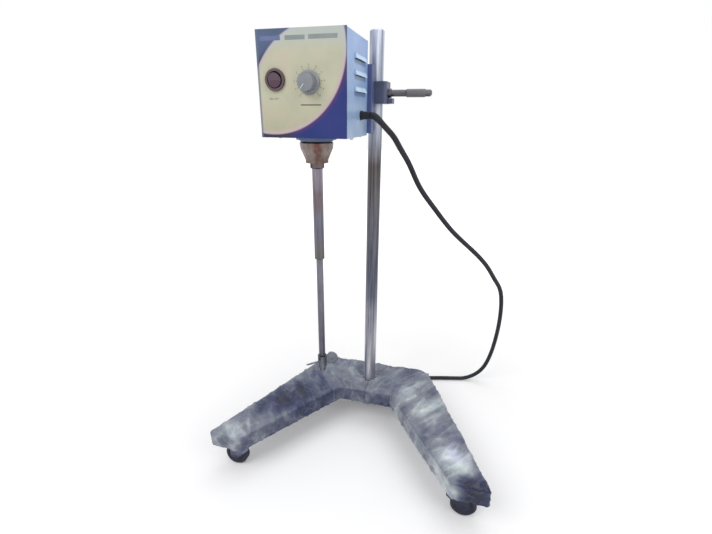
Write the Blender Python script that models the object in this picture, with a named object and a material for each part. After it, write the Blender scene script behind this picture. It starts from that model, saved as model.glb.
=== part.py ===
"""Overhead laboratory stirrer: a sheet-metal motor head on a chromed rod over a wheeled V-shaped stand.

Metres, +Z up, front towards -Y. The origin is on the floor, midway under the stand.
"""

import math

import bmesh
import bpy
import numpy as np
from mathutils import Matrix, Vector

# Shared values
CLEARANCE = 0.0003
OVERRUN = 0.002
TURN_STEPS = 32
SMALL_STEPS = 20
WHEEL_STEPS = 28
CORNER_STEPS = 4
POCKET_CORNER_STEPS = 2
SHARP_ANGLE = math.radians(35)
ROUND_PROFILE = 0.5

# Stand base, measured over its film
BASE_TOP = 0.0694
BASE_THICKNESS = 0.0268
BACK_HALF_WIDTH = 0.1021
BACK_Y = 0.1192
TIP_OUTER_X = 0.2057
TIP_INNER_X = 0.1545
TIP_Y = -0.1192
CROTCH_HALF_WIDTH = 0.0456
CROTCH_Y = 0.0378
BASE_CORNER_RADIUS = 0.005
BASE_EDGE_RADIUS = 0.0025
FILM_THICKNESS = 0.0008
CASTING_TOP_WALL = 0.006
CASTING_SIDE_WALL = 0.006
CASTING_RIB = 0.004
POCKET_SHRINK_SHARE = 0.94
ARM_POCKET_MIDDLE_Y = -0.020
ARM_POCKET_END_Y = -0.074
BRIDGE_POCKET_MARGIN = 0.012

# Stand rod and its fastening under the base
ROD_X = 0.0
ROD_Y = 0.0733
ROD_RADIUS = 0.010
ROD_TOP = 0.628
ROD_CHAMFER = 0.0015
ROD_SOCKET_DEPTH = 0.004
ROD_STUD_RADIUS = 0.006
ROD_BOSS_RADIUS = 0.024
FILM_HOLE_MARGIN = 0.002
NUT_RECESS_RADIUS = 0.0165
NUT_RECESS_DEPTH = 0.012
WASHER_RADIUS = 0.014
WASHER_THICKNESS = 0.0025
NUT_FLAT_RADIUS = 0.0095
NUT_HEIGHT = 0.008

# Castors
WHEEL_RADIUS = 0.018
WHEEL_WIDTH = 0.015
WHEEL_EDGE = 0.003
WHEEL_HUB_RADIUS = 0.011
WHEEL_HUB_DISH = 0.002
AXLE_RADIUS = 0.003
CASTOR_TRAIL = 0.012
CASTOR_FRONT_INSET_X = 0.0437
CASTOR_FRONT_INSET_Y = 0.0207
CASTOR_REAR_X = 0.080
CASTOR_REAR_Y = 0.0983
SEAT_RADIUS = 0.013
SEAT_THICKNESS = 0.0016
STEM_RADIUS = 0.004
STEM_LENGTH = 0.014
SWIVEL_PIN_RADIUS = 0.0035
RIVET_RADIUS = 0.0052
RIVET_THICKNESS = 0.0014
CROWN_RADIUS = 0.0125
CROWN_THICKNESS = 0.002
FORK_SIDE_GAP = 0.0012
FORK_SIDE_THICKNESS = 0.002
FORK_FOOT_RADIUS = 0.0065

# Head box
BOX_WIDTH = 0.108
BOX_DEPTH = 0.1005
BOX_DROP = 0.1337
BOX_HEIGHT = 0.1163
PANEL_THICKNESS = 0.002
SHELL_WALL = 0.0015
SHELL_FLANGE = 0.007
SHELL_EDGE_RADIUS = 0.0012
LOUVRE_LEVEL_SHARES = (0.483, 0.640, 0.792)
LOUVRE_START_SHARE = 0.348
LOUVRE_LENGTH_SHARE = 0.517
LOUVRE_RISE = 0.0065
LOUVRE_REACH = 0.0032
LOUVRE_SKIN = 0.0009

# Spindle line and motor inside the head
SPINDLE_X = -0.0600
SPINDLE_FORWARD = 0.00145
SHAFT_RADIUS = 0.004
SHAFT_THICK_RADIUS = 0.006
MOTOR_RADIUS = 0.027
MOTOR_WALL = 0.0025
BELL_FLOOR = 0.003
BELL_HEIGHT = 0.0195
MOTOR_ROOF_GAP = 0.0074
STATOR_BORE = 0.0183
TOP_BELL_HEIGHT = 0.0235
BEARING_RADIUS = 0.011
BEARING_WIDTH = 0.007
BEARING_BOSS = 0.004
BELL_SHAFT_HOLE = 0.008
ROTOR_RADIUS = 0.0176
ROTOR_END_GAP = 0.00475
ROTOR_SLOTS = 12
ROTOR_SLOT_DEPTH = 0.005
ROTOR_SLOT_SHARE = 0.28
COMMUTATOR_RADIUS = 0.009
COMMUTATOR_HEIGHT = 0.012
COMMUTATOR_LIFT = 0.003
BRUSH_WIDTH = 0.006
BRUSH_HEIGHT = 0.008
FAN_RADIUS = 0.0255
FAN_HUB_RADIUS = 0.008
FAN_DISC = 0.0015
FAN_HEIGHT = 0.008
FAN_BLADES = 9
FAN_BLADE_THICKNESS = 0.0012
FAN_LIFT = 0.0025
SHAFT_TOP_REACH = 0.0015

# Bearing flange under the box, and chuck
FLANGE_RADIUS = 0.0265
FLANGE_THICKNESS = 0.0035
SPIGOT_RADIUS = 0.013
SPIGOT_HEIGHT = 0.0045
CHUCK_DROP = 0.0028
CHUCK_BODY_RADIUS = 0.0125
CHUCK_BODY_LENGTH = 0.0268
CHUCK_SLEEVE_RADIUS = 0.022
CHUCK_SLEEVE_WAIST_RADIUS = 0.0213
CHUCK_SLEEVE_NOSE_RADIUS = 0.0152
CHUCK_SLEEVE_LIP = 0.0015
CHUCK_SLEEVE_STRAIGHT = 0.009
CHUCK_SLEEVE_NOSE = 0.0036
CHUCK_SHAFT_DEPTH = 0.010
JAW_CONE_RADIUS = 0.0105
JAW_CONE_HEIGHT = 0.011
JAW_TIP_RADIUS = 0.0095
JAW_TIP_LENGTH = 0.0078
JAW_CHAMFER = 0.0015
JAW_COUNT = 3
JAW_GAP_ANGLE = math.radians(9)

# Drive tube, stirring rod and propeller
TUBE_RADIUS = 0.0072
TUBE_BORE = 0.0054
TUBE_LENGTH = 0.1527
TUBE_BORE_DEPTH = 0.116
TUBE_CHAMFER = 0.001
GRUB_RADIUS = 0.002
GRUB_LEVEL = 0.010
STIRRER_RADIUS = 0.0050
STIRRER_BOTTOM = 0.135
STIRRER_INSERTION = 0.026
HUB_RADIUS = 0.007
HUB_HEIGHT = 0.020
HUB_LIFT = 0.007
BLADE_TIP_RADIUS = 0.027
BLADE_WIDTH = 0.020
BLADE_THICKNESS = 0.0018
BLADE_PITCH = math.radians(32)
BLADE_HEADING = math.radians(45)
BLADE_COUNT = 2

# Controls on the front panel
SWITCH_INSET = 0.0219
SWITCH_LEVEL = 0.0639
SWITCH_BEZEL_RADIUS = 0.01235
SWITCH_BEZEL_HEIGHT = 0.0022
SWITCH_NECK_RADIUS = 0.0101
SWITCH_DEPTH = 0.0150
SWITCH_WELL_RADIUS = 0.0093
SWITCH_WELL_DEPTH = 0.0085
ROCKER_RADIUS = 0.0083
ROCKER_RISE = 0.0030
ROCKER_DEPTH = 0.0030
ROCKER_PIVOT_DEPTH = 0.0010
ROCKER_TILT = math.radians(8)
KNOB_INSET = 0.0637
KNOB_LEVEL = 0.0608
KNOB_SKIRT_RADIUS = 0.0130
KNOB_SKIRT_HEIGHT = 0.0035
KNOB_GRIP_RADIUS = 0.0105
KNOB_GRIP_TIP_RADIUS = 0.0098
KNOB_HEIGHT = 0.0135
KNOB_RIDGES = 18
KNOB_RIDGE_DEPTH = 0.0007
KNOB_STANDOFF = 0.0006
KNOB_RECESS_RADIUS = 0.0075
KNOB_RECESS_DEPTH = 0.0045
POT_RADIUS = 0.0085
POT_DEPTH = 0.0095
POT_BUSH_RADIUS = 0.0036
POT_BUSH_REACH = 0.0035
POT_NUT_FLAT_RADIUS = 0.0052
POT_NUT_HEIGHT = 0.0020
POT_SHAFT_RADIUS = 0.0030
POT_SHAFT_REACH = 0.0105
POT_SHAFT_DEPTH = 0.0065

# Electronics inside the head
BOARD_THICKNESS = 0.0016
BOARD_LENGTH = 0.054
BOARD_HEIGHT = 0.066
BOARD_BACK_GAP = 0.0077
BOARD_LEVEL = 0.018
BOARD_STANDOFF = 0.0035
BOARD_STANDOFF_RADIUS = 0.003
BOARD_STANDOFF_MARGIN = 0.005
SINK_BASE = 0.003
SINK_FIN_LENGTH = 0.007
SINK_FIN_THICKNESS = 0.0018
SINK_FINS = 5
SINK_WIDTH = 0.028
SINK_HEIGHT = 0.036
TERMINAL_WIDTH = 0.014
TERMINAL_DEPTH = 0.018
TERMINAL_HEIGHT = 0.012
TERMINAL_MARGIN = 0.006
TERMINAL_SCREW_RADIUS = 0.0016
TERMINAL_WAYS = 3

# Cord gland in the right side
GLAND_Y = 0.0053
GLAND_LEVEL = 0.0259
GLAND_THREAD_RADIUS = 0.0044
GLAND_THREAD_LENGTH = 0.011
GLAND_COLLAR_RADIUS = 0.0058
GLAND_COLLAR_LENGTH = 0.0025
GLAND_TAPER_RADIUS = 0.0050
GLAND_MOUTH_RADIUS = 0.0044
GLAND_REACH = 0.0125
GLAND_NUT_FLAT_RADIUS = 0.0070
GLAND_NUT_THICKNESS = 0.004

# Rear bracket, clamp block and clamp handle
BRACKET_LEFT = -0.026
BRACKET_RIGHT = 0.0015
BRACKET_OVERHANG = 0.0064
BRACKET_WALL = 0.004
BRACKET_DEPTH = 0.0150
BRACKET_LEVEL = 0.0027
BRACKET_HEIGHT = 0.0865
BRACKET_EDGE_RADIUS = 0.001
BLOCK_RIGHT = 0.018
BLOCK_DEPTH = 0.034
BLOCK_LEVEL = 0.0413
BLOCK_HEIGHT = 0.0284
BLOCK_CORNER_RADIUS = 0.004
LUG_REACH = 0.007
LUG_HEIGHT = 0.0070
LUG_HALF_WIDTH = 0.0085
HANDLE_LEVEL = 0.0553
HANDLE_THREAD_RADIUS = 0.004
HANDLE_HUB_RADIUS = 0.0060
HANDLE_HUB_LENGTH = 0.004
HANDLE_BAR_RADIUS = 0.0045
HANDLE_GRIP_RADIUS = 0.0054
HANDLE_GRIP_START = 0.026
HANDLE_GRIP_END = 0.050
HANDLE_REACH = 0.060
HANDLE_ROUND = 0.002
HANDLE_TIP_GAP = 0.0006

# Mains cord: from the gland to the floor behind the stand, as x, y and share of the gland's height
CORD_RADIUS = 0.00375
CORD_FLOOR_GAP = 0.00005
CORD_POINT_STEP = 0.0165
CORD_ROUTE = (
    (0.0110, 0.0053, 0.9998),
    (0.0190, 0.0062, 0.9899),
    (0.0281, 0.0093, 0.9711),
    (0.0370, 0.0133, 0.9520),
    (0.0458, 0.0203, 0.9223),
    (0.0548, 0.0283, 0.8914),
    (0.0694, 0.0483, 0.8244),
    (0.0926, 0.0753, 0.7494),
    (0.1231, 0.1043, 0.6667),
    (0.1669, 0.1353, 0.5769),
    (0.1862, 0.1483, 0.5300),
    (0.2014, 0.1613, 0.4804),
    (0.2104, 0.1683, 0.4510),
    (0.2190, 0.1800, 0.3896),
    (0.2225, 0.1930, 0.3025),
    (0.2215, 0.2060, 0.2057),
    (0.2150, 0.2150, 0.1088),
    (0.2000, 0.2190, 0.0372),
    (0.1760, 0.2160, 0.0043),
    (0.1400, 0.2075, 0.0000),
    (0.1000, 0.1970, 0.0000),
    (0.0720, 0.1890, 0.0000),
)
CORD_RAMP_FOOT = 0.050
CORD_RAMP_TOP = 0.022

# Coil of the rest of the cord, on the floor under the stand's bridge
COIL_X = 0.0
COIL_Y = 0.1408
COIL_RADIUS = 0.0450
COIL_TURN_GAP = 0.0009
COIL_LAYER_GAP = 0.0009
COIL_TURNS_IN = 1.5
COIL_TAIL = 0.040
COIL_TAIL_FLAT = 0.020
COIL_TAIL_POINTS = 5
COIL_POINTS_PER_TURN = 24
COIL_START_ANGLE = math.radians(90)

# Mains plug at the end of the coil
PLUG_RELIEF_LENGTH = 0.024
PLUG_RELIEF_MOUTH_RADIUS = 0.0048
PLUG_RELIEF_ROOT_RADIUS = 0.0066
PLUG_LENGTH = 0.034
PLUG_HALF_WIDTH = 0.0130
PLUG_HALF_HEIGHT = 0.0070
PLUG_BOTTOM_GAP = 0.0003
PLUG_CORNER_RADIUS = 0.006
PLUG_PIN_RADIUS = 0.0024
PLUG_PIN_LENGTH = 0.019
PLUG_PIN_SPACING = 0.0170

# Places that follow from the sizes above
BASE_BOTTOM = BASE_TOP - BASE_THICKNESS
CASTING_TOP = BASE_TOP - FILM_THICKNESS - CLEARANCE
CASTOR_FRONT_X = TIP_OUTER_X - CASTOR_FRONT_INSET_X
CASTOR_FRONT_Y = TIP_Y + CASTOR_FRONT_INSET_Y
BLOCK_FRONT = ROD_Y - BLOCK_DEPTH / 2
BLOCK_BACK = ROD_Y + BLOCK_DEPTH / 2
BOX_RIGHT = BRACKET_RIGHT - BRACKET_OVERHANG
BOX_LEFT = BOX_RIGHT - BOX_WIDTH
BOX_BACK = BLOCK_FRONT - BRACKET_DEPTH - 2 * CLEARANCE
BOX_FRONT = BOX_BACK - BOX_DEPTH
BOX_BOTTOM = ROD_TOP - BOX_DROP
BOX_TOP = BOX_BOTTOM + BOX_HEIGHT
SPINDLE_Y = (BOX_FRONT + BOX_BACK) / 2 - SPINDLE_FORWARD
BOARD_FRONT_Y = BOX_BACK - BOARD_BACK_GAP - BOARD_LENGTH
SWITCH_X = BOX_LEFT + SWITCH_INSET
SWITCH_Z = BOX_BOTTOM + SWITCH_LEVEL
KNOB_X = BOX_LEFT + KNOB_INSET
KNOB_Z = BOX_BOTTOM + KNOB_LEVEL
GLAND_Z = BOX_BOTTOM + GLAND_LEVEL
BRACKET_BOTTOM = BOX_BOTTOM + BRACKET_LEVEL
BRACKET_TOP = BRACKET_BOTTOM + BRACKET_HEIGHT
BLOCK_BOTTOM = BOX_BOTTOM + BLOCK_LEVEL
BLOCK_TOP = BLOCK_BOTTOM + BLOCK_HEIGHT
HANDLE_Z = BOX_BOTTOM + HANDLE_LEVEL
SHELL_FRONT = BOX_FRONT + PANEL_THICKNESS + CLEARANCE
SHELL_BACK = BOX_BACK - PANEL_THICKNESS - CLEARANCE
PANEL_BACK_FACE = BOX_FRONT + PANEL_THICKNESS
FLOOR_PLATE_TOP = BOX_BOTTOM + PANEL_THICKNESS
MOTOR_ROOM = BOX_HEIGHT - PANEL_THICKNESS - SHELL_WALL - MOTOR_ROOF_GAP - 3 * CLEARANCE
FAN_ROOM = FAN_LIFT + FAN_HEIGHT + SHAFT_TOP_REACH
STATOR_HEIGHT = MOTOR_ROOM - BELL_HEIGHT - TOP_BELL_HEIGHT - FAN_ROOM
ROTOR_HEIGHT = STATOR_HEIGHT - 2 * ROTOR_END_GAP
BELL_BOTTOM = FLOOR_PLATE_TOP + CLEARANCE
STATOR_BOTTOM = BELL_BOTTOM + BELL_HEIGHT + CLEARANCE
STATOR_TOP = STATOR_BOTTOM + STATOR_HEIGHT
TOP_BELL_BOTTOM = STATOR_TOP + CLEARANCE
TOP_BELL_TOP = TOP_BELL_BOTTOM + TOP_BELL_HEIGHT
BEARING_SEAT_RADIUS = BEARING_RADIUS + CLEARANCE
BOSS_RADIUS = BEARING_SEAT_RADIUS + BEARING_BOSS
FLANGE_TOP = BOX_BOTTOM - CLEARANCE
FLANGE_BOTTOM = FLANGE_TOP - FLANGE_THICKNESS
SPIGOT_TOP = FLANGE_TOP + SPIGOT_HEIGHT
LOWER_SEAT_FLOOR = SPIGOT_TOP + CLEARANCE + BELL_FLOOR
LOWER_BEARING_BOTTOM = LOWER_SEAT_FLOOR + CLEARANCE
UPPER_SEAT_TOP = TOP_BELL_TOP - BELL_FLOOR
UPPER_BEARING_TOP = UPPER_SEAT_TOP - CLEARANCE
ROTOR_BOTTOM = (STATOR_BOTTOM + STATOR_TOP - ROTOR_HEIGHT) / 2
COMMUTATOR_BOTTOM = ROTOR_BOTTOM + ROTOR_HEIGHT + COMMUTATOR_LIFT
FAN_BOTTOM = TOP_BELL_TOP + FAN_LIFT
SHAFT_TOP = FAN_BOTTOM + FAN_HEIGHT + SHAFT_TOP_REACH
CHUCK_TOP = FLANGE_BOTTOM - CHUCK_DROP
CHUCK_BOTTOM = CHUCK_TOP - CHUCK_BODY_LENGTH
SHAFT_BOTTOM = CHUCK_TOP - CHUCK_SHAFT_DEPTH + CLEARANCE
JAW_TOP = CHUCK_BOTTOM + JAW_CONE_HEIGHT
JAW_BOTTOM = CHUCK_BOTTOM - JAW_TIP_LENGTH
TUBE_TOP = CHUCK_TOP - CHUCK_SHAFT_DEPTH - CLEARANCE
TUBE_BOTTOM = TUBE_TOP - TUBE_LENGTH
STIRRER_TOP = TUBE_BOTTOM + STIRRER_INSERTION
HUB_BOTTOM = STIRRER_BOTTOM + HUB_LIFT
CORD_FLOOR_Z = CORD_RADIUS + CORD_FLOOR_GAP
CORD_START = BOX_RIGHT + GLAND_REACH + CLEARANCE
COIL_PITCH = 2 * CORD_RADIUS + COIL_TURN_GAP
COIL_LAYER = 2 * CORD_RADIUS + COIL_LAYER_GAP
COIL_LEAD = 2 * CORD_RADIUS
COIL_TOP_Z = CORD_FLOOR_Z + COIL_LAYER
COIL_SIDE_Y = COIL_Y + COIL_RADIUS
CORD_END_X = COIL_X + COIL_LEAD + CLEARANCE
PLUG_Z = PLUG_HALF_HEIGHT + PLUG_BOTTOM_GAP
PLUG_X = COIL_X - COIL_TAIL - CLEARANCE
WHEEL_BORE = AXLE_RADIUS + CLEARANCE
SEAT_BOTTOM = BASE_BOTTOM - CLEARANCE - SEAT_THICKNESS
CROWN_TOP = SEAT_BOTTOM - CLEARANCE
CROWN_BOTTOM = CROWN_TOP - CROWN_THICKNESS
RIVET_TOP = CROWN_BOTTOM - CLEARANCE

# Directions in which a turned piece's own upward axis can be laid
UPRIGHT = Matrix.Identity(4)
FRONTWARD = Matrix.Rotation(math.pi / 2, 4, "X")
RIGHTWARD = Matrix.Rotation(math.pi / 2, 4, "Y")
LEFTWARD = Matrix.Rotation(-math.pi / 2, 4, "Y")


def clear_scene():
    """Remove whatever the scene holds."""
    for thing in list(bpy.data.objects):
        bpy.data.objects.remove(thing, do_unlink=True)


def make_material(name, colour, roughness, metallic):
    """A plain shaded material."""
    made = bpy.data.materials.new(name)
    made.use_nodes = True
    made.diffuse_color = (*colour, 1.0)
    shader = made.node_tree.nodes["Principled BSDF"]
    shader.inputs["Base Color"].default_value = (*colour, 1.0)
    shader.inputs["Roughness"].default_value = roughness
    shader.inputs["Metallic"].default_value = metallic
    return made


def make_materials():
    """Every material of the stirrer, by name."""
    looks = {
        "navy_paint": ((0.045, 0.060, 0.115), 0.45, 0.0),
        "clear_film": ((0.42, 0.47, 0.50), 0.22, 0.0),
        "chrome": ((0.72, 0.73, 0.75), 0.12, 1.0),
        "zinc_steel": ((0.50, 0.50, 0.52), 0.35, 1.0),
        "dark_rubber": ((0.030, 0.032, 0.040), 0.60, 0.0),
        "blue_paint": ((0.30, 0.42, 0.66), 0.40, 0.0),
        "panel_print": ((0.50, 0.50, 0.38), 0.45, 0.0),
        "chuck_steel": ((0.22, 0.18, 0.16), 0.38, 1.0),
        "stirrer_steel": ((0.38, 0.36, 0.39), 0.30, 1.0),
        "aluminium": ((0.62, 0.63, 0.65), 0.40, 1.0),
        "stator_iron": ((0.20, 0.20, 0.22), 0.50, 1.0),
        "copper": ((0.60, 0.30, 0.16), 0.35, 1.0),
        "black_plastic": ((0.025, 0.025, 0.028), 0.45, 0.0),
        "maroon_plastic": ((0.16, 0.02, 0.03), 0.35, 0.0),
        "grey_plastic": ((0.30, 0.31, 0.34), 0.40, 0.0),
        "board_green": ((0.05, 0.16, 0.08), 0.55, 0.0),
        "cord_black": ((0.020, 0.020, 0.024), 0.50, 0.0),
    }
    return {name: make_material(name, *look) for name, look in looks.items()}


def make_empty(name, place):
    """A holder at a joint, whose children move with it."""
    holder = bpy.data.objects.new(name, None)
    holder.location = place
    bpy.context.scene.collection.objects.link(holder)
    return holder


def add_object(name, data, material, origin, holder):
    """Link data written in the part's frame as an object whose origin is at a chosen place."""
    data.transform(Matrix.Translation(-Vector(origin)))
    data.materials.append(material)
    made = bpy.data.objects.new(name, data)
    made.location = Vector(origin)
    if holder is not None:
        made.parent = holder
        made.location -= holder.location
    bpy.context.scene.collection.objects.link(made)
    return made


def finish_mesh(name, bm):
    """Turn a bmesh into a mesh with outward faces and smooth round sides."""
    bmesh.ops.recalc_face_normals(bm, faces=bm.faces)
    mesh = bpy.data.meshes.new(name)
    bm.to_mesh(mesh)
    bm.free()
    mesh.shade_smooth()
    mesh.set_sharp_from_angle(angle=SHARP_ANGLE)
    return mesh


def add_solid(name, bm, material, origin=(0, 0, 0), holder=None):
    """A visible piece of the stirrer."""
    return add_object(name, finish_mesh(name, bm), material, origin, holder)


def combine(target, bm, operation, label):
    """Cut a helper shape from a piece, join it to the piece or keep what both share."""
    helper_name = f"{target.name}_{label}"
    helper = bpy.data.objects.new(helper_name, finish_mesh(helper_name, bm))
    helper.hide_render = True
    helper.display_type = "WIRE"
    bpy.context.scene.collection.objects.link(helper)
    modifier = target.modifiers.new(label, "BOOLEAN")
    modifier.operation = operation
    modifier.solver = "EXACT"
    modifier.object = helper


def extrude_outline(bm, outline, bottom, top, place=UPRIGHT, top_share=1.0):
    """Add a closed prism, drawn in by a share at its top."""
    middle = sum((Vector(point) for point in outline), Vector((0, 0))) / len(outline)
    lower = [bm.verts.new((x, y, bottom)) for x, y in outline]
    upper = []
    for point in outline:
        drawn = middle + (Vector(point) - middle) * top_share
        upper.append(bm.verts.new((drawn.x, drawn.y, top)))
    bm.faces.new(lower[::-1])
    bm.faces.new(upper)
    for near, far in zip(range(len(lower)), [*range(1, len(lower)), 0]):
        bm.faces.new((lower[near], lower[far], upper[far], upper[near]))
    bmesh.ops.transform(bm, matrix=place, verts=lower + upper)
    return lower, upper


def add_box(bm, low, high):
    """Add a box between two corners."""
    outline = ((low[0], low[1]), (high[0], low[1]), (high[0], high[1]), (low[0], high[1]))
    return extrude_outline(bm, outline, low[2], high[2])


def spin_profile(bm, profile, place=UPRIGHT, steps=TURN_STEPS, ring=False):
    """Add a turned body from (radius, height) points, closed on itself where it is a ring."""
    before = set(bm.verts)
    verts = [bm.verts.new((radius, 0, height)) for radius, height in profile]
    edges = [bm.edges.new(pair) for pair in zip(verts, verts[1:])]
    if ring:
        edges.append(bm.edges.new((verts[-1], verts[0])))
    bmesh.ops.spin(
        bm,
        geom=verts + edges,
        cent=(0, 0, 0),
        axis=(0, 0, 1),
        angle=math.tau,
        steps=steps,
        use_merge=True,
    )
    made = [vert for vert in bm.verts if vert not in before]
    bmesh.ops.remove_doubles(bm, verts=made, dist=CLEARANCE / 1000)
    made = [vert for vert in bm.verts if vert not in before]
    bmesh.ops.transform(bm, matrix=place, verts=made)


def spin_sector(bm, profile, place, start, sweep, steps):
    """Add a closed slice of a turned ring."""
    turn = Matrix.Rotation(start, 4, "Z")
    before = set(bm.verts)
    verts = [bm.verts.new(turn @ Vector((radius, 0, height))) for radius, height in profile]
    edges = [bm.edges.new(pair) for pair in zip(verts, [*verts[1:], verts[0]])]
    bmesh.ops.spin(
        bm,
        geom=verts + edges,
        cent=(0, 0, 0),
        axis=(0, 0, 1),
        angle=sweep,
        steps=steps,
    )
    made = [vert for vert in bm.verts if vert not in before]
    ends = [edge for edge in bm.edges if edge.is_boundary]
    bmesh.ops.holes_fill(bm, edges=ends, sides=0)
    bmesh.ops.transform(bm, matrix=place, verts=made)


def add_rod(bm, radius, bottom, top, place=UPRIGHT, steps=SMALL_STEPS):
    """Add a plain cylinder."""
    profile = ((0, top), (radius, top), (radius, bottom), (0, bottom))
    spin_profile(bm, profile, place, steps)


def at(x, y, z, direction=UPRIGHT):
    """A place and a direction for a turned piece."""
    return Matrix.Translation((x, y, z)) @ direction


def rounded(points, radius, steps=CORNER_STEPS):
    """An outline with an arc at each corner."""
    outline = []
    for index, point in enumerate(points):
        corner = Vector(point)
        before = (Vector(points[index - 1]) - corner).normalized()
        after = (Vector(points[(index + 1) % len(points)]) - corner).normalized()
        half = before.angle(after) / 2
        centre = corner + (before + after).normalized() * radius / math.sin(half)
        first = corner + before * radius / math.tan(half) - centre
        last = corner + after * radius / math.tan(half) - centre
        sweep = first.angle_signed(last)
        for step in range(steps + 1):
            turned = first.copy()
            turned.rotate(Matrix.Rotation(-sweep * step / steps, 2))
            outline.append(tuple(centre + turned))
    return outline


def inset(points, distance):
    """An anticlockwise outline moved inwards by a distance."""
    moved = []
    for index, point in enumerate(points):
        corner = Vector(point)
        before = (corner - Vector(points[index - 1])).normalized()
        after = (Vector(points[(index + 1) % len(points)]) - corner).normalized()
        normal = Vector((-before.y - after.y, before.x + after.x)).normalized()
        reach = distance / normal.dot(Vector((-before.y, before.x)))
        moved.append(tuple(corner + normal * reach))
    return moved


def rectangle(left, right, front, back):
    """The corners of a rectangle, anticlockwise."""
    return [(left, front), (right, front), (right, back), (left, back)]


def hexagon(flat_radius):
    """A hexagon by half its width across flats."""
    reach = flat_radius / math.cos(math.pi / 6)
    return [(reach * math.cos(math.pi * k / 3), reach * math.sin(math.pi * k / 3)) for k in range(6)]


def base_outline():
    """The V of the stand seen from above, anticlockwise, over its film."""
    return [
        (-TIP_OUTER_X, TIP_Y),
        (-TIP_INNER_X, TIP_Y),
        (-CROTCH_HALF_WIDTH, CROTCH_Y),
        (CROTCH_HALF_WIDTH, CROTCH_Y),
        (TIP_INNER_X, TIP_Y),
        (TIP_OUTER_X, TIP_Y),
        (BACK_HALF_WIDTH, BACK_Y),
        (-BACK_HALF_WIDTH, BACK_Y),
    ]


def arm_edges(y):
    """How far out an arm's inner and outer edges lie at a depth."""
    inner_slope = (TIP_INNER_X - CROTCH_HALF_WIDTH) / (CROTCH_Y - TIP_Y)
    outer_slope = (TIP_OUTER_X - BACK_HALF_WIDTH) / (BACK_Y - TIP_Y)
    inner = CROTCH_HALF_WIDTH + (CROTCH_Y - y) * inner_slope
    outer = BACK_HALF_WIDTH + (BACK_Y - y) * outer_slope
    return inner, outer


def arm_cells(front, back, overlap):
    """The two cells of the right arm between two depths, either side of its long rib."""
    inner_front, outer_front = arm_edges(front)
    inner_back, outer_back = arm_edges(back)
    middle_front = (inner_front + outer_front) / 2
    middle_back = (inner_back + outer_back) / 2
    reach = overlap / 2
    near = [
        (inner_front, front),
        (middle_front + reach, front),
        (middle_back + reach, back),
        (inner_back, back),
    ]
    far = [
        (middle_front - reach, front),
        (outer_front, front),
        (outer_back, back),
        (middle_back - reach, back),
    ]
    return near, far


def mirrored_outline(outline, side):
    """An anticlockwise outline on the right, or its mirror on the left."""
    if side > 0:
        return outline
    return [(-x, y) for x, y in reversed(outline)]


def castor_places():
    """Each castor's name, kingpin place and the side it trails towards."""
    return (
        ("front_left", -CASTOR_FRONT_X, CASTOR_FRONT_Y, -1),
        ("front_right", CASTOR_FRONT_X, CASTOR_FRONT_Y, 1),
        ("rear_left", -CASTOR_REAR_X, CASTOR_REAR_Y, -1),
        ("rear_right", CASTOR_REAR_X, CASTOR_REAR_Y, 1),
    )


def make_base_casting(material):
    """The hollow ribbed V casting with its rod boss and castor bosses."""
    skin = FILM_THICKNESS + CLEARANCE
    outline = rounded(inset(base_outline(), skin), BASE_CORNER_RADIUS - skin)
    bm = bmesh.new()
    _, upper = extrude_outline(bm, outline, BASE_BOTTOM, CASTING_TOP)
    rim = [edge for edge in bm.edges if edge.verts[0] in upper and edge.verts[1] in upper]
    bmesh.ops.bevel(
        bm,
        geom=rim,
        offset=BASE_EDGE_RADIUS,
        segments=2,
        profile=ROUND_PROFILE,
        affect="EDGES",
        clamp_overlap=True,
    )
    casting = add_solid("base_casting", bm, material)

    pockets = bmesh.new()
    overlap = 2 * CASTING_SIDE_WALL - CASTING_RIB
    ceiling = CASTING_TOP - CASTING_TOP_WALL
    floor = BASE_BOTTOM - OVERRUN
    cells = [
        inset(cell, CASTING_SIDE_WALL)
        for band in (
            (ARM_POCKET_MIDDLE_Y, CROTCH_Y),
            (ARM_POCKET_END_Y, ARM_POCKET_MIDDLE_Y + overlap),
        )
        for cell in arm_cells(*band, overlap)
    ]
    far = CASTOR_REAR_X - BRIDGE_POCKET_MARGIN
    cells.append(rectangle(ROD_BOSS_RADIUS, far, CROTCH_Y + CASTING_RIB, BACK_Y - CASTING_SIDE_WALL))
    for side in (-1, 1):
        for cell in cells:
            pocket = rounded(mirrored_outline(cell, side), CASTING_SIDE_WALL / 2, POCKET_CORNER_STEPS)
            extrude_outline(pockets, pocket, floor, ceiling, top_share=POCKET_SHRINK_SHARE)
    combine(casting, pockets, "DIFFERENCE", "pockets")

    holes = bmesh.new()
    rod = at(ROD_X, ROD_Y, 0)
    socket_bottom = CASTING_TOP - ROD_SOCKET_DEPTH
    add_rod(holes, ROD_RADIUS + CLEARANCE, socket_bottom, CASTING_TOP + OVERRUN, rod, TURN_STEPS)
    combine(casting, holes, "DIFFERENCE", "rod_socket")
    recess = bmesh.new()
    recess_top = BASE_BOTTOM + NUT_RECESS_DEPTH
    add_rod(recess, NUT_RECESS_RADIUS, BASE_BOTTOM - OVERRUN, recess_top, rod, TURN_STEPS)
    combine(casting, recess, "DIFFERENCE", "nut_recess")
    through = bmesh.new()
    add_rod(through, ROD_STUD_RADIUS + CLEARANCE, BASE_BOTTOM, CASTING_TOP, rod)
    combine(casting, through, "DIFFERENCE", "stud_hole")
    stems = bmesh.new()
    for _, x, y, _ in castor_places():
        add_rod(
            stems,
            STEM_RADIUS + CLEARANCE,
            BASE_BOTTOM - OVERRUN,
            BASE_BOTTOM + STEM_LENGTH + CLEARANCE,
            at(x, y, 0),
        )
    combine(casting, stems, "DIFFERENCE", "castor_holes")


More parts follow.
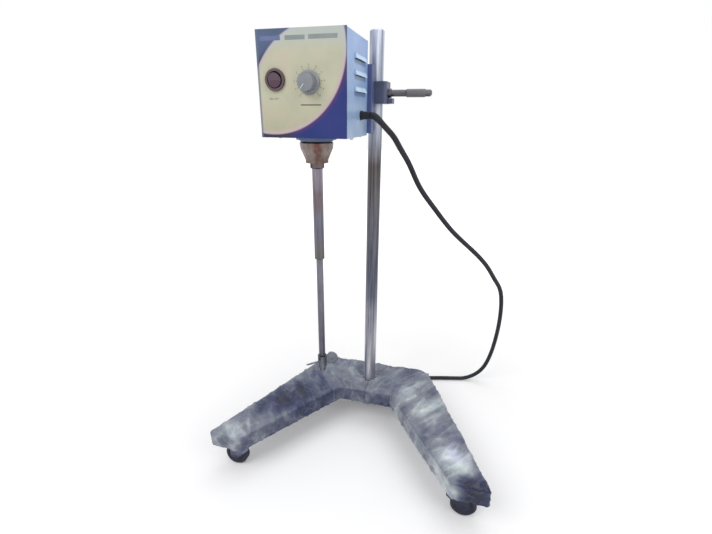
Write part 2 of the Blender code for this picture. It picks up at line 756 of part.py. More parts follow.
def make_base_film(material):
    """The thin wrap that lies over the casting's top and sides."""
    bm = bmesh.new()
    extrude_outline(bm, rounded(base_outline(), BASE_CORNER_RADIUS), BASE_BOTTOM, BASE_TOP)
    film = add_solid("base_film_wrap", bm, material)
    hollow = bmesh.new()
    inner = rounded(inset(base_outline(), FILM_THICKNESS), BASE_CORNER_RADIUS - FILM_THICKNESS)
    extrude_outline(hollow, inner, BASE_BOTTOM - OVERRUN, BASE_TOP - FILM_THICKNESS)
    combine(film, hollow, "DIFFERENCE", "hollow")
    hole = bmesh.new()
    reach = ROD_RADIUS + FILM_HOLE_MARGIN
    add_rod(hole, reach, BASE_TOP - OVERRUN, BASE_TOP + OVERRUN, at(ROD_X, ROD_Y, 0))
    combine(film, hole, "DIFFERENCE", "rod_hole")


def make_stand_rod(materials):
    """The chromed rod, standing in its socket and drawn down by a nut under the base."""
    socket = CASTING_TOP - ROD_SOCKET_DEPTH + CLEARANCE
    recess_top = BASE_BOTTOM + NUT_RECESS_DEPTH
    washer_top = recess_top - CLEARANCE
    washer_bottom = washer_top - WASHER_THICKNESS
    nut_top = washer_bottom - CLEARANCE
    nut_bottom = nut_top - NUT_HEIGHT
    rod = at(ROD_X, ROD_Y, 0)
    bm = bmesh.new()
    profile = (
        (0, ROD_TOP),
        (ROD_RADIUS - ROD_CHAMFER, ROD_TOP),
        (ROD_RADIUS, ROD_TOP - ROD_CHAMFER),
        (ROD_RADIUS, socket),
        (ROD_STUD_RADIUS, socket),
        (ROD_STUD_RADIUS, nut_bottom),
        (0, nut_bottom),
    )
    spin_profile(bm, profile, rod)
    add_solid("stand_rod", bm, materials["chrome"], (ROD_X, ROD_Y, BASE_TOP))

    bore = ROD_STUD_RADIUS + CLEARANCE
    bm = bmesh.new()
    ring = (
        (bore, washer_bottom),
        (WASHER_RADIUS, washer_bottom),
        (WASHER_RADIUS, washer_top),
        (bore, washer_top),
    )
    spin_profile(bm, ring, rod, SMALL_STEPS, ring=True)
    add_solid("rod_washer", bm, materials["zinc_steel"], (ROD_X, ROD_Y, washer_bottom))

    bm = bmesh.new()
    extrude_outline(bm, hexagon(NUT_FLAT_RADIUS), nut_bottom, nut_top, rod)
    nut = add_solid("rod_nut", bm, materials["zinc_steel"], (ROD_X, ROD_Y, nut_bottom))
    hole = bmesh.new()
    add_rod(hole, bore, nut_bottom - OVERRUN, nut_top + OVERRUN, rod)
    combine(nut, hole, "DIFFERENCE", "bore")


def make_castor(materials, label, x, y, side):
    """One swivel castor: its seat, its fork with the axle, and its wheel."""
    kingpin = at(x, y, 0)
    swivel = make_empty(f"castor_{label}_swivel", (x, y, CROWN_TOP))
    bm = bmesh.new()
    stem_top = BASE_BOTTOM + STEM_LENGTH
    seat_top = BASE_BOTTOM - CLEARANCE
    rivet_bottom = RIVET_TOP - RIVET_THICKNESS
    profile = (
        (0, stem_top),
        (STEM_RADIUS, stem_top),
        (STEM_RADIUS, seat_top),
        (SEAT_RADIUS, seat_top),
        (SEAT_RADIUS, SEAT_BOTTOM),
        (SWIVEL_PIN_RADIUS, SEAT_BOTTOM),
        (SWIVEL_PIN_RADIUS, RIVET_TOP),
        (RIVET_RADIUS, RIVET_TOP),
        (RIVET_RADIUS, rivet_bottom),
        (0, rivet_bottom),
    )
    spin_profile(bm, profile, kingpin, SMALL_STEPS)
    add_solid(f"castor_seat_{label}", bm, materials["zinc_steel"], (x, y, SEAT_BOTTOM))

    half_inside = WHEEL_WIDTH / 2 + FORK_SIDE_GAP
    half_outside = half_inside + FORK_SIDE_THICKNESS
    axle_x = CASTOR_TRAIL
    foot = []
    for step in range(2 * CORNER_STEPS + 1):
        angle = -math.pi * step / (2 * CORNER_STEPS)
        across = FORK_FOOT_RADIUS * math.cos(angle)
        foot.append((axle_x + across, WHEEL_RADIUS + FORK_FOOT_RADIUS * math.sin(angle)))
    profile = [
        (-CROWN_RADIUS, CROWN_TOP),
        (-CROWN_RADIUS, CROWN_BOTTOM - CROWN_THICKNESS),
        *reversed(foot),
        (axle_x + FORK_FOOT_RADIUS, CROWN_BOTTOM - CROWN_THICKNESS),
        (axle_x, CROWN_TOP),
    ]
    mirrored = Matrix.Diagonal((side, 1, 1, 1))
    sideways = at(x, y, 0) @ mirrored @ FRONTWARD
    bm = bmesh.new()
    extrude_outline(bm, profile, -half_outside, half_outside, sideways)
    place = (x, y, CROWN_TOP)
    fork = add_solid(f"castor_fork_{label}", bm, materials["navy_paint"], place, swivel)
    slot = bmesh.new()
    reach = 2 * WHEEL_RADIUS
    add_box(slot, (x - reach, y - half_inside, -OVERRUN), (x + reach, y + half_inside, CROWN_BOTTOM))
    combine(fork, slot, "DIFFERENCE", "wheel_slot")
    hole = bmesh.new()
    add_rod(hole, SWIVEL_PIN_RADIUS + CLEARANCE, CROWN_BOTTOM - OVERRUN, CROWN_TOP + OVERRUN, kingpin)
    combine(fork, hole, "DIFFERENCE", "pin_hole")
    axle_place = at(x + side * CASTOR_TRAIL, y, WHEEL_RADIUS, FRONTWARD)
    axle = bmesh.new()
    add_rod(axle, AXLE_RADIUS, -half_outside - CLEARANCE, half_outside + CLEARANCE, axle_place)
    combine(fork, axle, "UNION", "axle")

    half = WHEEL_WIDTH / 2
    profile = (
        (WHEEL_BORE, half),
        (AXLE_RADIUS + WHEEL_HUB_DISH, half),
        (WHEEL_HUB_RADIUS, half - WHEEL_HUB_DISH),
        (WHEEL_RADIUS - WHEEL_EDGE, half),
        (WHEEL_RADIUS, half - WHEEL_EDGE),
        (WHEEL_RADIUS, WHEEL_EDGE - half),
        (WHEEL_RADIUS - WHEEL_EDGE, -half),
        (WHEEL_HUB_RADIUS, WHEEL_HUB_DISH - half),
        (AXLE_RADIUS + WHEEL_HUB_DISH, -half),
        (WHEEL_BORE, -half),
    )
    bm = bmesh.new()
    spin_profile(bm, profile, axle_place, WHEEL_STEPS, ring=True)
    origin = (x + side * CASTOR_TRAIL, y, WHEEL_RADIUS)
    add_solid(f"castor_wheel_{label}", bm, materials["dark_rubber"], origin, swivel)


def louvre_shapes():
    """The pressed hoods of both sides and the hollows under them."""
    hoods = bmesh.new()
    hollows = bmesh.new()
    start = BOX_FRONT + BOX_DEPTH * LOUVRE_START_SHARE
    end = start + BOX_DEPTH * LOUVRE_LENGTH_SHARE
    hood = (
        (-SHELL_WALL / 2, 0),
        (LOUVRE_REACH, 0),
        (LOUVRE_SKIN / 2, LOUVRE_RISE),
        (-SHELL_WALL / 2, LOUVRE_RISE),
    )
    ceiling = LOUVRE_RISE - 2 * LOUVRE_SKIN
    inside = -SHELL_WALL - OVERRUN
    hollow = (
        (inside, -LOUVRE_SKIN / 4),
        (LOUVRE_SKIN / 4, -LOUVRE_SKIN / 4),
        (LOUVRE_SKIN / 4, -OVERRUN),
        (LOUVRE_REACH - LOUVRE_SKIN, -OVERRUN),
        (LOUVRE_REACH - LOUVRE_SKIN, LOUVRE_SKIN / 2),
        (LOUVRE_SKIN / 4, ceiling),
        (inside, ceiling),
    )
    for share in LOUVRE_LEVEL_SHARES:
        level = BOX_BOTTOM + BOX_HEIGHT * share - LOUVRE_RISE / 2
        for wall, side in ((BOX_RIGHT, 1), (BOX_LEFT, -1)):
            place = at(wall, 0, level) @ Matrix.Diagonal((side, 1, 1, 1)) @ FRONTWARD
            extrude_outline(hoods, hood, -end, -start, place)
            extrude_outline(hollows, hollow, LOUVRE_SKIN - end, -start - LOUVRE_SKIN, place)
    return hoods, hollows


def make_housing_shell(material, head):
    """The folded top and sides of the box, with turned-in flanges and louvres."""
    bm = bmesh.new()
    add_box(bm, (BOX_LEFT, SHELL_FRONT, BOX_BOTTOM), (BOX_RIGHT, SHELL_BACK, BOX_TOP))
    long_edges = [
        edge
        for edge in bm.edges
        if all(math.isclose(vert.co.z, BOX_TOP, abs_tol=CLEARANCE) for vert in edge.verts)
        and not math.isclose(edge.verts[0].co.y, edge.verts[1].co.y, abs_tol=CLEARANCE)
    ]
    bmesh.ops.bevel(
        bm,
        geom=long_edges,
        offset=SHELL_EDGE_RADIUS,
        segments=2,
        profile=ROUND_PROFILE,
        affect="EDGES",
    )
    shell = add_solid("housing_shell", bm, material, (BOX_LEFT, BOX_FRONT, BOX_BOTTOM), head)
    hoods, hollows = louvre_shapes()
    room = bmesh.new()
    left = BOX_LEFT + SHELL_WALL
    right = BOX_RIGHT - SHELL_WALL
    top = BOX_TOP - SHELL_WALL
    add_box(
        room,
        (left, SHELL_FRONT + SHELL_WALL, BOX_BOTTOM - OVERRUN),
        (right, SHELL_BACK - SHELL_WALL, top),
    )
    combine(shell, room, "DIFFERENCE", "room")
    ends = bmesh.new()
    add_box(
        ends,
        (left + SHELL_FLANGE, SHELL_FRONT - OVERRUN, BOX_BOTTOM - 2 * OVERRUN),
        (right - SHELL_FLANGE, SHELL_BACK + OVERRUN, top - SHELL_FLANGE),
    )
    combine(shell, ends, "DIFFERENCE", "open_ends")
    plate_room = bmesh.new()
    add_box(
        plate_room,
        (left, SHELL_FRONT - 2 * OVERRUN, BOX_BOTTOM - 3 * OVERRUN),
        (right, SHELL_BACK + 2 * OVERRUN, FLOOR_PLATE_TOP + CLEARANCE),
    )
    combine(shell, plate_room, "DIFFERENCE", "plate_room")
    combine(shell, hoods, "UNION", "louvre_hoods")
    combine(shell, hollows, "DIFFERENCE", "louvre_slots")
    gland = bmesh.new()
    add_rod(
        gland,
        GLAND_THREAD_RADIUS + CLEARANCE,
        -SHELL_WALL - OVERRUN,
        OVERRUN,
        at(BOX_RIGHT, GLAND_Y, GLAND_Z, RIGHTWARD),
    )
    combine(shell, gland, "DIFFERENCE", "gland_hole")


def make_box_plates(materials, head):
    """The front panel, the back plate and the floor plate of the box."""
    bm = bmesh.new()
    add_box(bm, (BOX_LEFT, BOX_FRONT, BOX_BOTTOM), (BOX_RIGHT, PANEL_BACK_FACE, BOX_TOP))
    origin = (BOX_LEFT, BOX_FRONT, BOX_BOTTOM)
    panel = add_solid("front_panel", bm, materials["panel_print"], origin, head)
    holes = bmesh.new()
    for radius, x, z in (
        (SWITCH_NECK_RADIUS + CLEARANCE, SWITCH_X, SWITCH_Z),
        (POT_BUSH_RADIUS + CLEARANCE, KNOB_X, KNOB_Z),
    ):
        add_rod(holes, radius, -PANEL_THICKNESS - OVERRUN, OVERRUN, at(x, BOX_FRONT, z, FRONTWARD))
    combine(panel, holes, "DIFFERENCE", "control_holes")

    bm = bmesh.new()
    add_box(bm, (BOX_LEFT, BOX_BACK - PANEL_THICKNESS, BOX_BOTTOM), (BOX_RIGHT, BOX_BACK, BOX_TOP))
    add_solid("back_plate", bm, materials["blue_paint"], (BOX_LEFT, BOX_BACK, BOX_BOTTOM), head)

    inner = SHELL_WALL + CLEARANCE
    bm = bmesh.new()
    add_box(
        bm,
        (BOX_LEFT + inner, SHELL_FRONT, BOX_BOTTOM),
        (BOX_RIGHT - inner, SHELL_BACK, FLOOR_PLATE_TOP),
    )
    floor = add_solid("floor_plate", bm, materials["blue_paint"], origin, head)
    hole = bmesh.new()
    spindle = at(SPINDLE_X, SPINDLE_Y, 0)
    add_rod(hole, SPIGOT_RADIUS + CLEARANCE, BOX_BOTTOM - OVERRUN, FLOOR_PLATE_TOP + OVERRUN, spindle)
    combine(floor, hole, "DIFFERENCE", "spindle_hole")


def make_motor(materials, head):
    """The motor's bells, stator, bearings and brushes, which stay still in the head."""
    spindle = at(SPINDLE_X, SPINDLE_Y, 0)
    inside = MOTOR_RADIUS - MOTOR_WALL
    recess = SPIGOT_RADIUS + CLEARANCE
    recess_top = SPIGOT_TOP + CLEARANCE
    bell_top = BELL_BOTTOM + BELL_HEIGHT
    boss_top = LOWER_SEAT_FLOOR + BEARING_WIDTH
    lower_bell = (
        (recess, BELL_BOTTOM),
        (MOTOR_RADIUS, BELL_BOTTOM),
        (MOTOR_RADIUS, bell_top),
        (inside, bell_top),
        (inside, BELL_BOTTOM + BELL_FLOOR),
        (BOSS_RADIUS, BELL_BOTTOM + BELL_FLOOR),
        (BOSS_RADIUS, boss_top),
        (BEARING_SEAT_RADIUS, boss_top),
        (BEARING_SEAT_RADIUS, LOWER_SEAT_FLOOR),
        (BELL_SHAFT_HOLE, LOWER_SEAT_FLOOR),
        (BELL_SHAFT_HOLE, recess_top),
        (recess, recess_top),
    )
    stator = (
        (STATOR_BORE, STATOR_BOTTOM),
        (MOTOR_RADIUS, STATOR_BOTTOM),
        (MOTOR_RADIUS, STATOR_TOP),
        (STATOR_BORE, STATOR_TOP),
    )
    seat_bottom = UPPER_SEAT_TOP - BEARING_WIDTH
    upper_bell = (
        (inside, TOP_BELL_BOTTOM),
        (MOTOR_RADIUS, TOP_BELL_BOTTOM),
        (MOTOR_RADIUS, TOP_BELL_TOP),
        (BELL_SHAFT_HOLE, TOP_BELL_TOP),
        (BELL_SHAFT_HOLE, UPPER_SEAT_TOP),
        (BEARING_SEAT_RADIUS, UPPER_SEAT_TOP),
        (BEARING_SEAT_RADIUS, seat_bottom),
        (BOSS_RADIUS, seat_bottom),
        (BOSS_RADIUS, TOP_BELL_TOP - BELL_FLOOR),
        (inside, TOP_BELL_TOP - BELL_FLOOR),
    )
    bore = SHAFT_RADIUS + CLEARANCE
    lower_bearing = (
        (bore, LOWER_BEARING_BOTTOM),
        (BEARING_RADIUS, LOWER_BEARING_BOTTOM),
        (BEARING_RADIUS, LOWER_BEARING_BOTTOM + BEARING_WIDTH),
        (bore, LOWER_BEARING_BOTTOM + BEARING_WIDTH),
    )
    upper_bearing = (
        (bore, UPPER_BEARING_TOP - BEARING_WIDTH),
        (BEARING_RADIUS, UPPER_BEARING_TOP - BEARING_WIDTH),
        (BEARING_RADIUS, UPPER_BEARING_TOP),
        (bore, UPPER_BEARING_TOP),
    )
    for name, ring, look in (
        ("motor_lower_bell", lower_bell, "aluminium"),
        ("motor_stator", stator, "stator_iron"),
        ("motor_upper_bell", upper_bell, "aluminium"),
        ("lower_bearing", lower_bearing, "zinc_steel"),
        ("upper_bearing", upper_bearing, "zinc_steel"),
    ):
        bm = bmesh.new()
        spin_profile(bm, ring, spindle, SMALL_STEPS, ring=True)
        add_solid(name, bm, materials[look], (SPINDLE_X, SPINDLE_Y, ring[0][1]), head)

    level = COMMUTATOR_BOTTOM + (COMMUTATOR_HEIGHT - BRUSH_HEIGHT) / 2
    for label, side in (("left", -1), ("right", 1)):
        near = COMMUTATOR_RADIUS + CLEARANCE
        far = math.sqrt((inside - CLEARANCE) ** 2 - (BRUSH_WIDTH / 2) ** 2)
        ends = sorted((SPINDLE_X + side * near, SPINDLE_X + side * far))
        low = (ends[0], SPINDLE_Y - BRUSH_WIDTH / 2, max(level, TOP_BELL_BOTTOM + CLEARANCE))
        high = (ends[1], SPINDLE_Y + BRUSH_WIDTH / 2, level + BRUSH_HEIGHT)
        bm = bmesh.new()
        add_box(bm, low, high)
        add_solid(f"brush_holder_{label}", bm, materials["black_plastic"], low, head)


def make_flange(material, head):
    """The round bearing flange under the box, with the spigot that centres the motor."""
    bore = BELL_SHAFT_HOLE
    ring = (
        (bore, FLANGE_BOTTOM),
        (FLANGE_RADIUS, FLANGE_BOTTOM),
        (FLANGE_RADIUS, FLANGE_TOP),
        (SPIGOT_RADIUS, FLANGE_TOP),
        (SPIGOT_RADIUS, SPIGOT_TOP),
        (bore, SPIGOT_TOP),
    )
    bm = bmesh.new()
    spin_profile(bm, ring, at(SPINDLE_X, SPINDLE_Y, 0), TURN_STEPS, ring=True)
    add_solid("bearing_flange", bm, material, (SPINDLE_X, SPINDLE_Y, FLANGE_BOTTOM), head)


def rotor_outline():
    """The slotted laminations of the rotor."""
    outline = []
    step = math.tau / ROTOR_SLOTS
    half_slot = step * ROTOR_SLOT_SHARE / 2
    floor = ROTOR_RADIUS - ROTOR_SLOT_DEPTH
    for index in range(ROTOR_SLOTS):
        middle = index * step
        for radius, angle in (
            (floor, middle - half_slot),
            (floor, middle + half_slot),
            (ROTOR_RADIUS, middle + half_slot),
            (ROTOR_RADIUS, middle + step / 2),
            (ROTOR_RADIUS, middle + step - half_slot),
        ):
            outline.append((radius * math.cos(angle), radius * math.sin(angle)))
    return outline


def make_rotor(materials, spinner):
    """The spindle shaft and what it carries inside the motor."""
    spindle = at(SPINDLE_X, SPINDLE_Y, 0)
    thick_bottom = LOWER_BEARING_BOTTOM + BEARING_WIDTH + CLEARANCE
    thick_top = UPPER_BEARING_TOP - BEARING_WIDTH - CLEARANCE
    profile = (
        (0, SHAFT_TOP),
        (SHAFT_RADIUS, SHAFT_TOP),
        (SHAFT_RADIUS, thick_top),
        (SHAFT_THICK_RADIUS, thick_top),
        (SHAFT_THICK_RADIUS, thick_bottom),
        (SHAFT_RADIUS, thick_bottom),
        (SHAFT_RADIUS, SHAFT_BOTTOM),
        (0, SHAFT_BOTTOM),
    )
    origin = (SPINDLE_X, SPINDLE_Y, CHUCK_TOP)
    bm = bmesh.new()
    spin_profile(bm, profile, spindle, SMALL_STEPS)
    add_solid("spindle_shaft", bm, materials["zinc_steel"], origin, spinner)

    bore = SHAFT_THICK_RADIUS + CLEARANCE
    bm = bmesh.new()
    rotor_top = ROTOR_BOTTOM + ROTOR_HEIGHT
    extrude_outline(bm, rotor_outline(), ROTOR_BOTTOM, rotor_top, spindle)
    rotor = add_solid("rotor_core", bm, materials["stator_iron"], origin, spinner)
    hole = bmesh.new()
    add_rod(hole, bore, ROTOR_BOTTOM - OVERRUN, rotor_top + OVERRUN, spindle)
    combine(rotor, hole, "DIFFERENCE", "bore")

    top = COMMUTATOR_BOTTOM + COMMUTATOR_HEIGHT
    ring = (
        (bore, COMMUTATOR_BOTTOM),
        (COMMUTATOR_RADIUS, COMMUTATOR_BOTTOM),
        (COMMUTATOR_RADIUS, top),
        (bore, top),
    )
    bm = bmesh.new()
    spin_profile(bm, ring, spindle, SMALL_STEPS, ring=True)
    add_solid("commutator", bm, materials["copper"], origin, spinner)

    bore = SHAFT_RADIUS + CLEARANCE
    disc_top = FAN_BOTTOM + FAN_DISC
    fan_top = FAN_BOTTOM + FAN_HEIGHT
    ring = (
        (bore, FAN_BOTTOM),
        (FAN_RADIUS, FAN_BOTTOM),
        (FAN_RADIUS, disc_top),
        (FAN_HUB_RADIUS, disc_top),
        (FAN_HUB_RADIUS, fan_top),
        (bore, fan_top),
    )
    bm = bmesh.new()
    spin_profile(bm, ring, spindle, SMALL_STEPS, ring=True)
    fan = add_solid("cooling_fan", bm, materials["grey_plastic"], origin, spinner)
    blades = bmesh.new()
    near = (bore + FAN_HUB_RADIUS) / 2
    half = FAN_BLADE_THICKNESS / 2
    blade = rectangle(near, FAN_RADIUS - FAN_DISC, -half, half)
    for index in range(FAN_BLADES):
        turn = Matrix.Rotation(math.tau * index / FAN_BLADES, 4, "Z")
        extrude_outline(blades, blade, FAN_BOTTOM + FAN_DISC / 2, fan_top - FAN_DISC, spindle @ turn)
    combine(fan, blades, "UNION", "blades")


def make_chuck(material, spinner):
    """The keyless chuck: body, tapered sleeve and three jaws round the drive tube."""
    spindle = at(SPINDLE_X, SPINDLE_Y, 0)
    origin = (SPINDLE_X, SPINDLE_Y, CHUCK_TOP)
    grip = TUBE_RADIUS + CLEARANCE
    shaft_bore = SHAFT_RADIUS + CLEARANCE
    shelf = CHUCK_TOP - CHUCK_SHAFT_DEPTH
    mouth = JAW_CONE_RADIUS + CLEARANCE
    body = (
        (shaft_bore, CHUCK_TOP),
        (shaft_bore, shelf),
        (grip, shelf),
        (grip, JAW_TOP + CLEARANCE),
        (grip + 2 * CLEARANCE, JAW_TOP + CLEARANCE),
        (mouth, CHUCK_BOTTOM),
        (CHUCK_BODY_RADIUS, CHUCK_BOTTOM),
        (CHUCK_BODY_RADIUS, CHUCK_TOP),
    )
    bm = bmesh.new()
    spin_profile(bm, body, spindle, TURN_STEPS, ring=True)
    add_solid("chuck_body", bm, material, origin, spinner)

    bore = CHUCK_BODY_RADIUS + CLEARANCE
    sleeve = (
        (bore, CHUCK_TOP),
        (CHUCK_SLEEVE_RADIUS - CHUCK_SLEEVE_LIP, CHUCK_TOP),
        (CHUCK_SLEEVE_RADIUS, CHUCK_TOP - CHUCK_SLEEVE_LIP),
        (CHUCK_SLEEVE_WAIST_RADIUS, CHUCK_TOP - CHUCK_SLEEVE_STRAIGHT),
        (CHUCK_SLEEVE_NOSE_RADIUS, CHUCK_BOTTOM + CHUCK_SLEEVE_NOSE),
        (CHUCK_SLEEVE_NOSE_RADIUS, CHUCK_BOTTOM),
        (bore, CHUCK_BOTTOM),
    )
    bm = bmesh.new()
    spin_profile(bm, sleeve, spindle, TURN_STEPS, ring=True)
    add_solid("chuck_sleeve", bm, material, origin, spinner)

    jaw = (
        (grip, JAW_TOP),
        (grip + CLEARANCE, JAW_TOP),
        (JAW_CONE_RADIUS, CHUCK_BOTTOM),
        (JAW_TIP_RADIUS, CHUCK_BOTTOM - CLEARANCE),
        (JAW_TIP_RADIUS, JAW_BOTTOM + JAW_CHAMFER),
        (JAW_TIP_RADIUS - JAW_CHAMFER, JAW_BOTTOM),
        (grip, JAW_BOTTOM),
    )
    share = math.tau / JAW_COUNT
    for index in range(JAW_COUNT):
        bm = bmesh.new()
        start = index * share + JAW_GAP_ANGLE / 2
        spin_sector(bm, jaw, spindle, start, share - JAW_GAP_ANGLE, SMALL_STEPS // 2)
        add_solid(f"chuck_jaw_{index + 1}", bm, material, origin, spinner)


def make_drive_tube(materials, spinner):
    """The tube held in the chuck and the grub screw that holds the stirring rod in it."""
    spindle = at(SPINDLE_X, SPINDLE_Y, 0)
    origin = (SPINDLE_X, SPINDLE_Y, TUBE_BOTTOM)
    bore_top = TUBE_BOTTOM + TUBE_BORE_DEPTH
    profile = (
        (0, TUBE_TOP),
        (TUBE_RADIUS, TUBE_TOP),
        (TUBE_RADIUS, TUBE_BOTTOM + TUBE_CHAMFER),
        (TUBE_RADIUS - TUBE_CHAMFER, TUBE_BOTTOM),
        (TUBE_BORE, TUBE_BOTTOM),
        (TUBE_BORE, bore_top),
        (0, bore_top),
    )
    bm = bmesh.new()
    spin_profile(bm, profile, spindle)
    tube = add_solid("drive_tube", bm, materials["stirrer_steel"], origin, spinner)
    level = TUBE_BOTTOM + GRUB_LEVEL
    backward = at(SPINDLE_X, SPINDLE_Y, level, FRONTWARD.inverted())
    hole = bmesh.new()
    add_rod(hole, GRUB_RADIUS + CLEARANCE, TUBE_BORE / 2, TUBE_RADIUS + OVERRUN, backward)
    combine(tube, hole, "DIFFERENCE", "screw_hole")
    bm = bmesh.new()
    add_rod(bm, GRUB_RADIUS, TUBE_BORE, TUBE_RADIUS, backward)
    add_solid("rod_grub_screw", bm, materials["zinc_steel"], (SPINDLE_X, SPINDLE_Y, level), spinner)


def blade_outline():
    """One propeller blade, as a rounded paddle lying along +X."""
    half = BLADE_WIDTH / 2
    outline = [(HUB_RADIUS / 2, -half / 2), (HUB_RADIUS, -half / 2)]
    middle = BLADE_TIP_RADIUS - half
    for step in range(3 * CORNER_STEPS + 1):
        angle = math.pi * (step / (3 * CORNER_STEPS) - 1 / 2)
        outline.append((middle + half * math.cos(angle), half * math.sin(angle)))
    outline.extend([(HUB_RADIUS, half / 2), (HUB_RADIUS / 2, half / 2)])
    return outline


def make_stirrer(material, stirrer):
    """The stirring rod and the pitched two-blade propeller at its foot."""
    spindle = at(SPINDLE_X, SPINDLE_Y, 0)
    origin = (SPINDLE_X, SPINDLE_Y, STIRRER_BOTTOM)
    bm = bmesh.new()
    add_rod(bm, STIRRER_RADIUS, STIRRER_BOTTOM, STIRRER_TOP, spindle)
    add_solid("stirring_rod", bm, material, origin, stirrer)

    bore = STIRRER_RADIUS + CLEARANCE
    hub_top = HUB_BOTTOM + HUB_HEIGHT
    bm = bmesh.new()
    profile = ((0, hub_top), (HUB_RADIUS, hub_top), (HUB_RADIUS, HUB_BOTTOM), (0, HUB_BOTTOM))
    spin_profile(bm, profile, spindle)
    propeller = add_solid("propeller", bm, material, origin, stirrer)
    blades = bmesh.new()
    middle = at(SPINDLE_X, SPINDLE_Y, HUB_BOTTOM + HUB_HEIGHT / 2)
    pitch = Matrix.Rotation(BLADE_PITCH, 4, "X")
    for index in range(BLADE_COUNT):
        heading = Matrix.Rotation(BLADE_HEADING + math.tau * index / BLADE_COUNT, 4, "Z")
        half = BLADE_THICKNESS / 2
        extrude_outline(blades, blade_outline(), -half, half, middle @ heading @ pitch)
    combine(propeller, blades, "UNION", "blades")
    hole = bmesh.new()
    add_rod(hole, bore, HUB_BOTTOM - OVERRUN, hub_top + OVERRUN, spindle)
    combine(propeller, hole, "DIFFERENCE", "bore")


def make_switch(materials, head, rocker_holder):
    """The round rocker switch: its body with the bezel, and the rocker in its well."""
    front = at(SWITCH_X, BOX_FRONT, SWITCH_Z, FRONTWARD)
    under_bezel = CLEARANCE
    bezel_top = under_bezel + SWITCH_BEZEL_HEIGHT
    well_floor = bezel_top - SWITCH_WELL_DEPTH
    back = -PANEL_THICKNESS - SWITCH_DEPTH
    profile = (
        (0, well_floor),
        (SWITCH_WELL_RADIUS, well_floor),
        (SWITCH_WELL_RADIUS, bezel_top),
        (SWITCH_BEZEL_RADIUS - under_bezel, bezel_top),
        (SWITCH_BEZEL_RADIUS, bezel_top - SWITCH_BEZEL_HEIGHT / 2),
        (SWITCH_BEZEL_RADIUS, under_bezel),
        (SWITCH_NECK_RADIUS, under_bezel),
        (SWITCH_NECK_RADIUS, back),
        (0, back),
    )
    bm = bmesh.new()
    spin_profile(bm, profile, front)
    add_solid("switch_body", bm, materials["black_plastic"], (SWITCH_X, BOX_FRONT, SWITCH_Z), head)

    pivot = at(SWITCH_X, BOX_FRONT - bezel_top + ROCKER_PIVOT_DEPTH, SWITCH_Z)
    tilt = Matrix.Rotation(ROCKER_TILT, 4, "X")
    bm = bmesh.new()
    wedge = (
        (-ROCKER_RISE, -ROCKER_RADIUS),
        (-ROCKER_RISE / 2, 0),
        (-ROCKER_RISE, ROCKER_RADIUS),
        (ROCKER_DEPTH, ROCKER_RADIUS),
        (ROCKER_DEPTH, -ROCKER_RADIUS),
    )
    sideways = pivot @ tilt @ Matrix(((0, 0, 1, 0), (1, 0, 0, 0), (0, 1, 0, 0), (0, 0, 0, 1)))
    extrude_outline(bm, wedge, -ROCKER_RADIUS, ROCKER_RADIUS, sideways)
    origin = pivot.translation
    rocker = add_solid("power_rocker", bm, materials["maroon_plastic"], origin, rocker_holder)
    round_shape = bmesh.new()
    reach = ROCKER_RISE + ROCKER_DEPTH + OVERRUN
    add_rod(round_shape, ROCKER_RADIUS - CLEARANCE, -reach, reach, pivot @ tilt @ FRONTWARD, TURN_STEPS)
    combine(rocker, round_shape, "INTERSECT", "round")


def ridged_outline(radius):
    """The knob's grip seen end on, with shallow ridges."""
    outline = []
    for index in range(2 * KNOB_RIDGES):
        reach = radius - KNOB_RIDGE_DEPTH * (index % 2)
        angle = math.pi * index / KNOB_RIDGES
        outline.append((reach * math.cos(angle), reach * math.sin(angle)))
    return outline


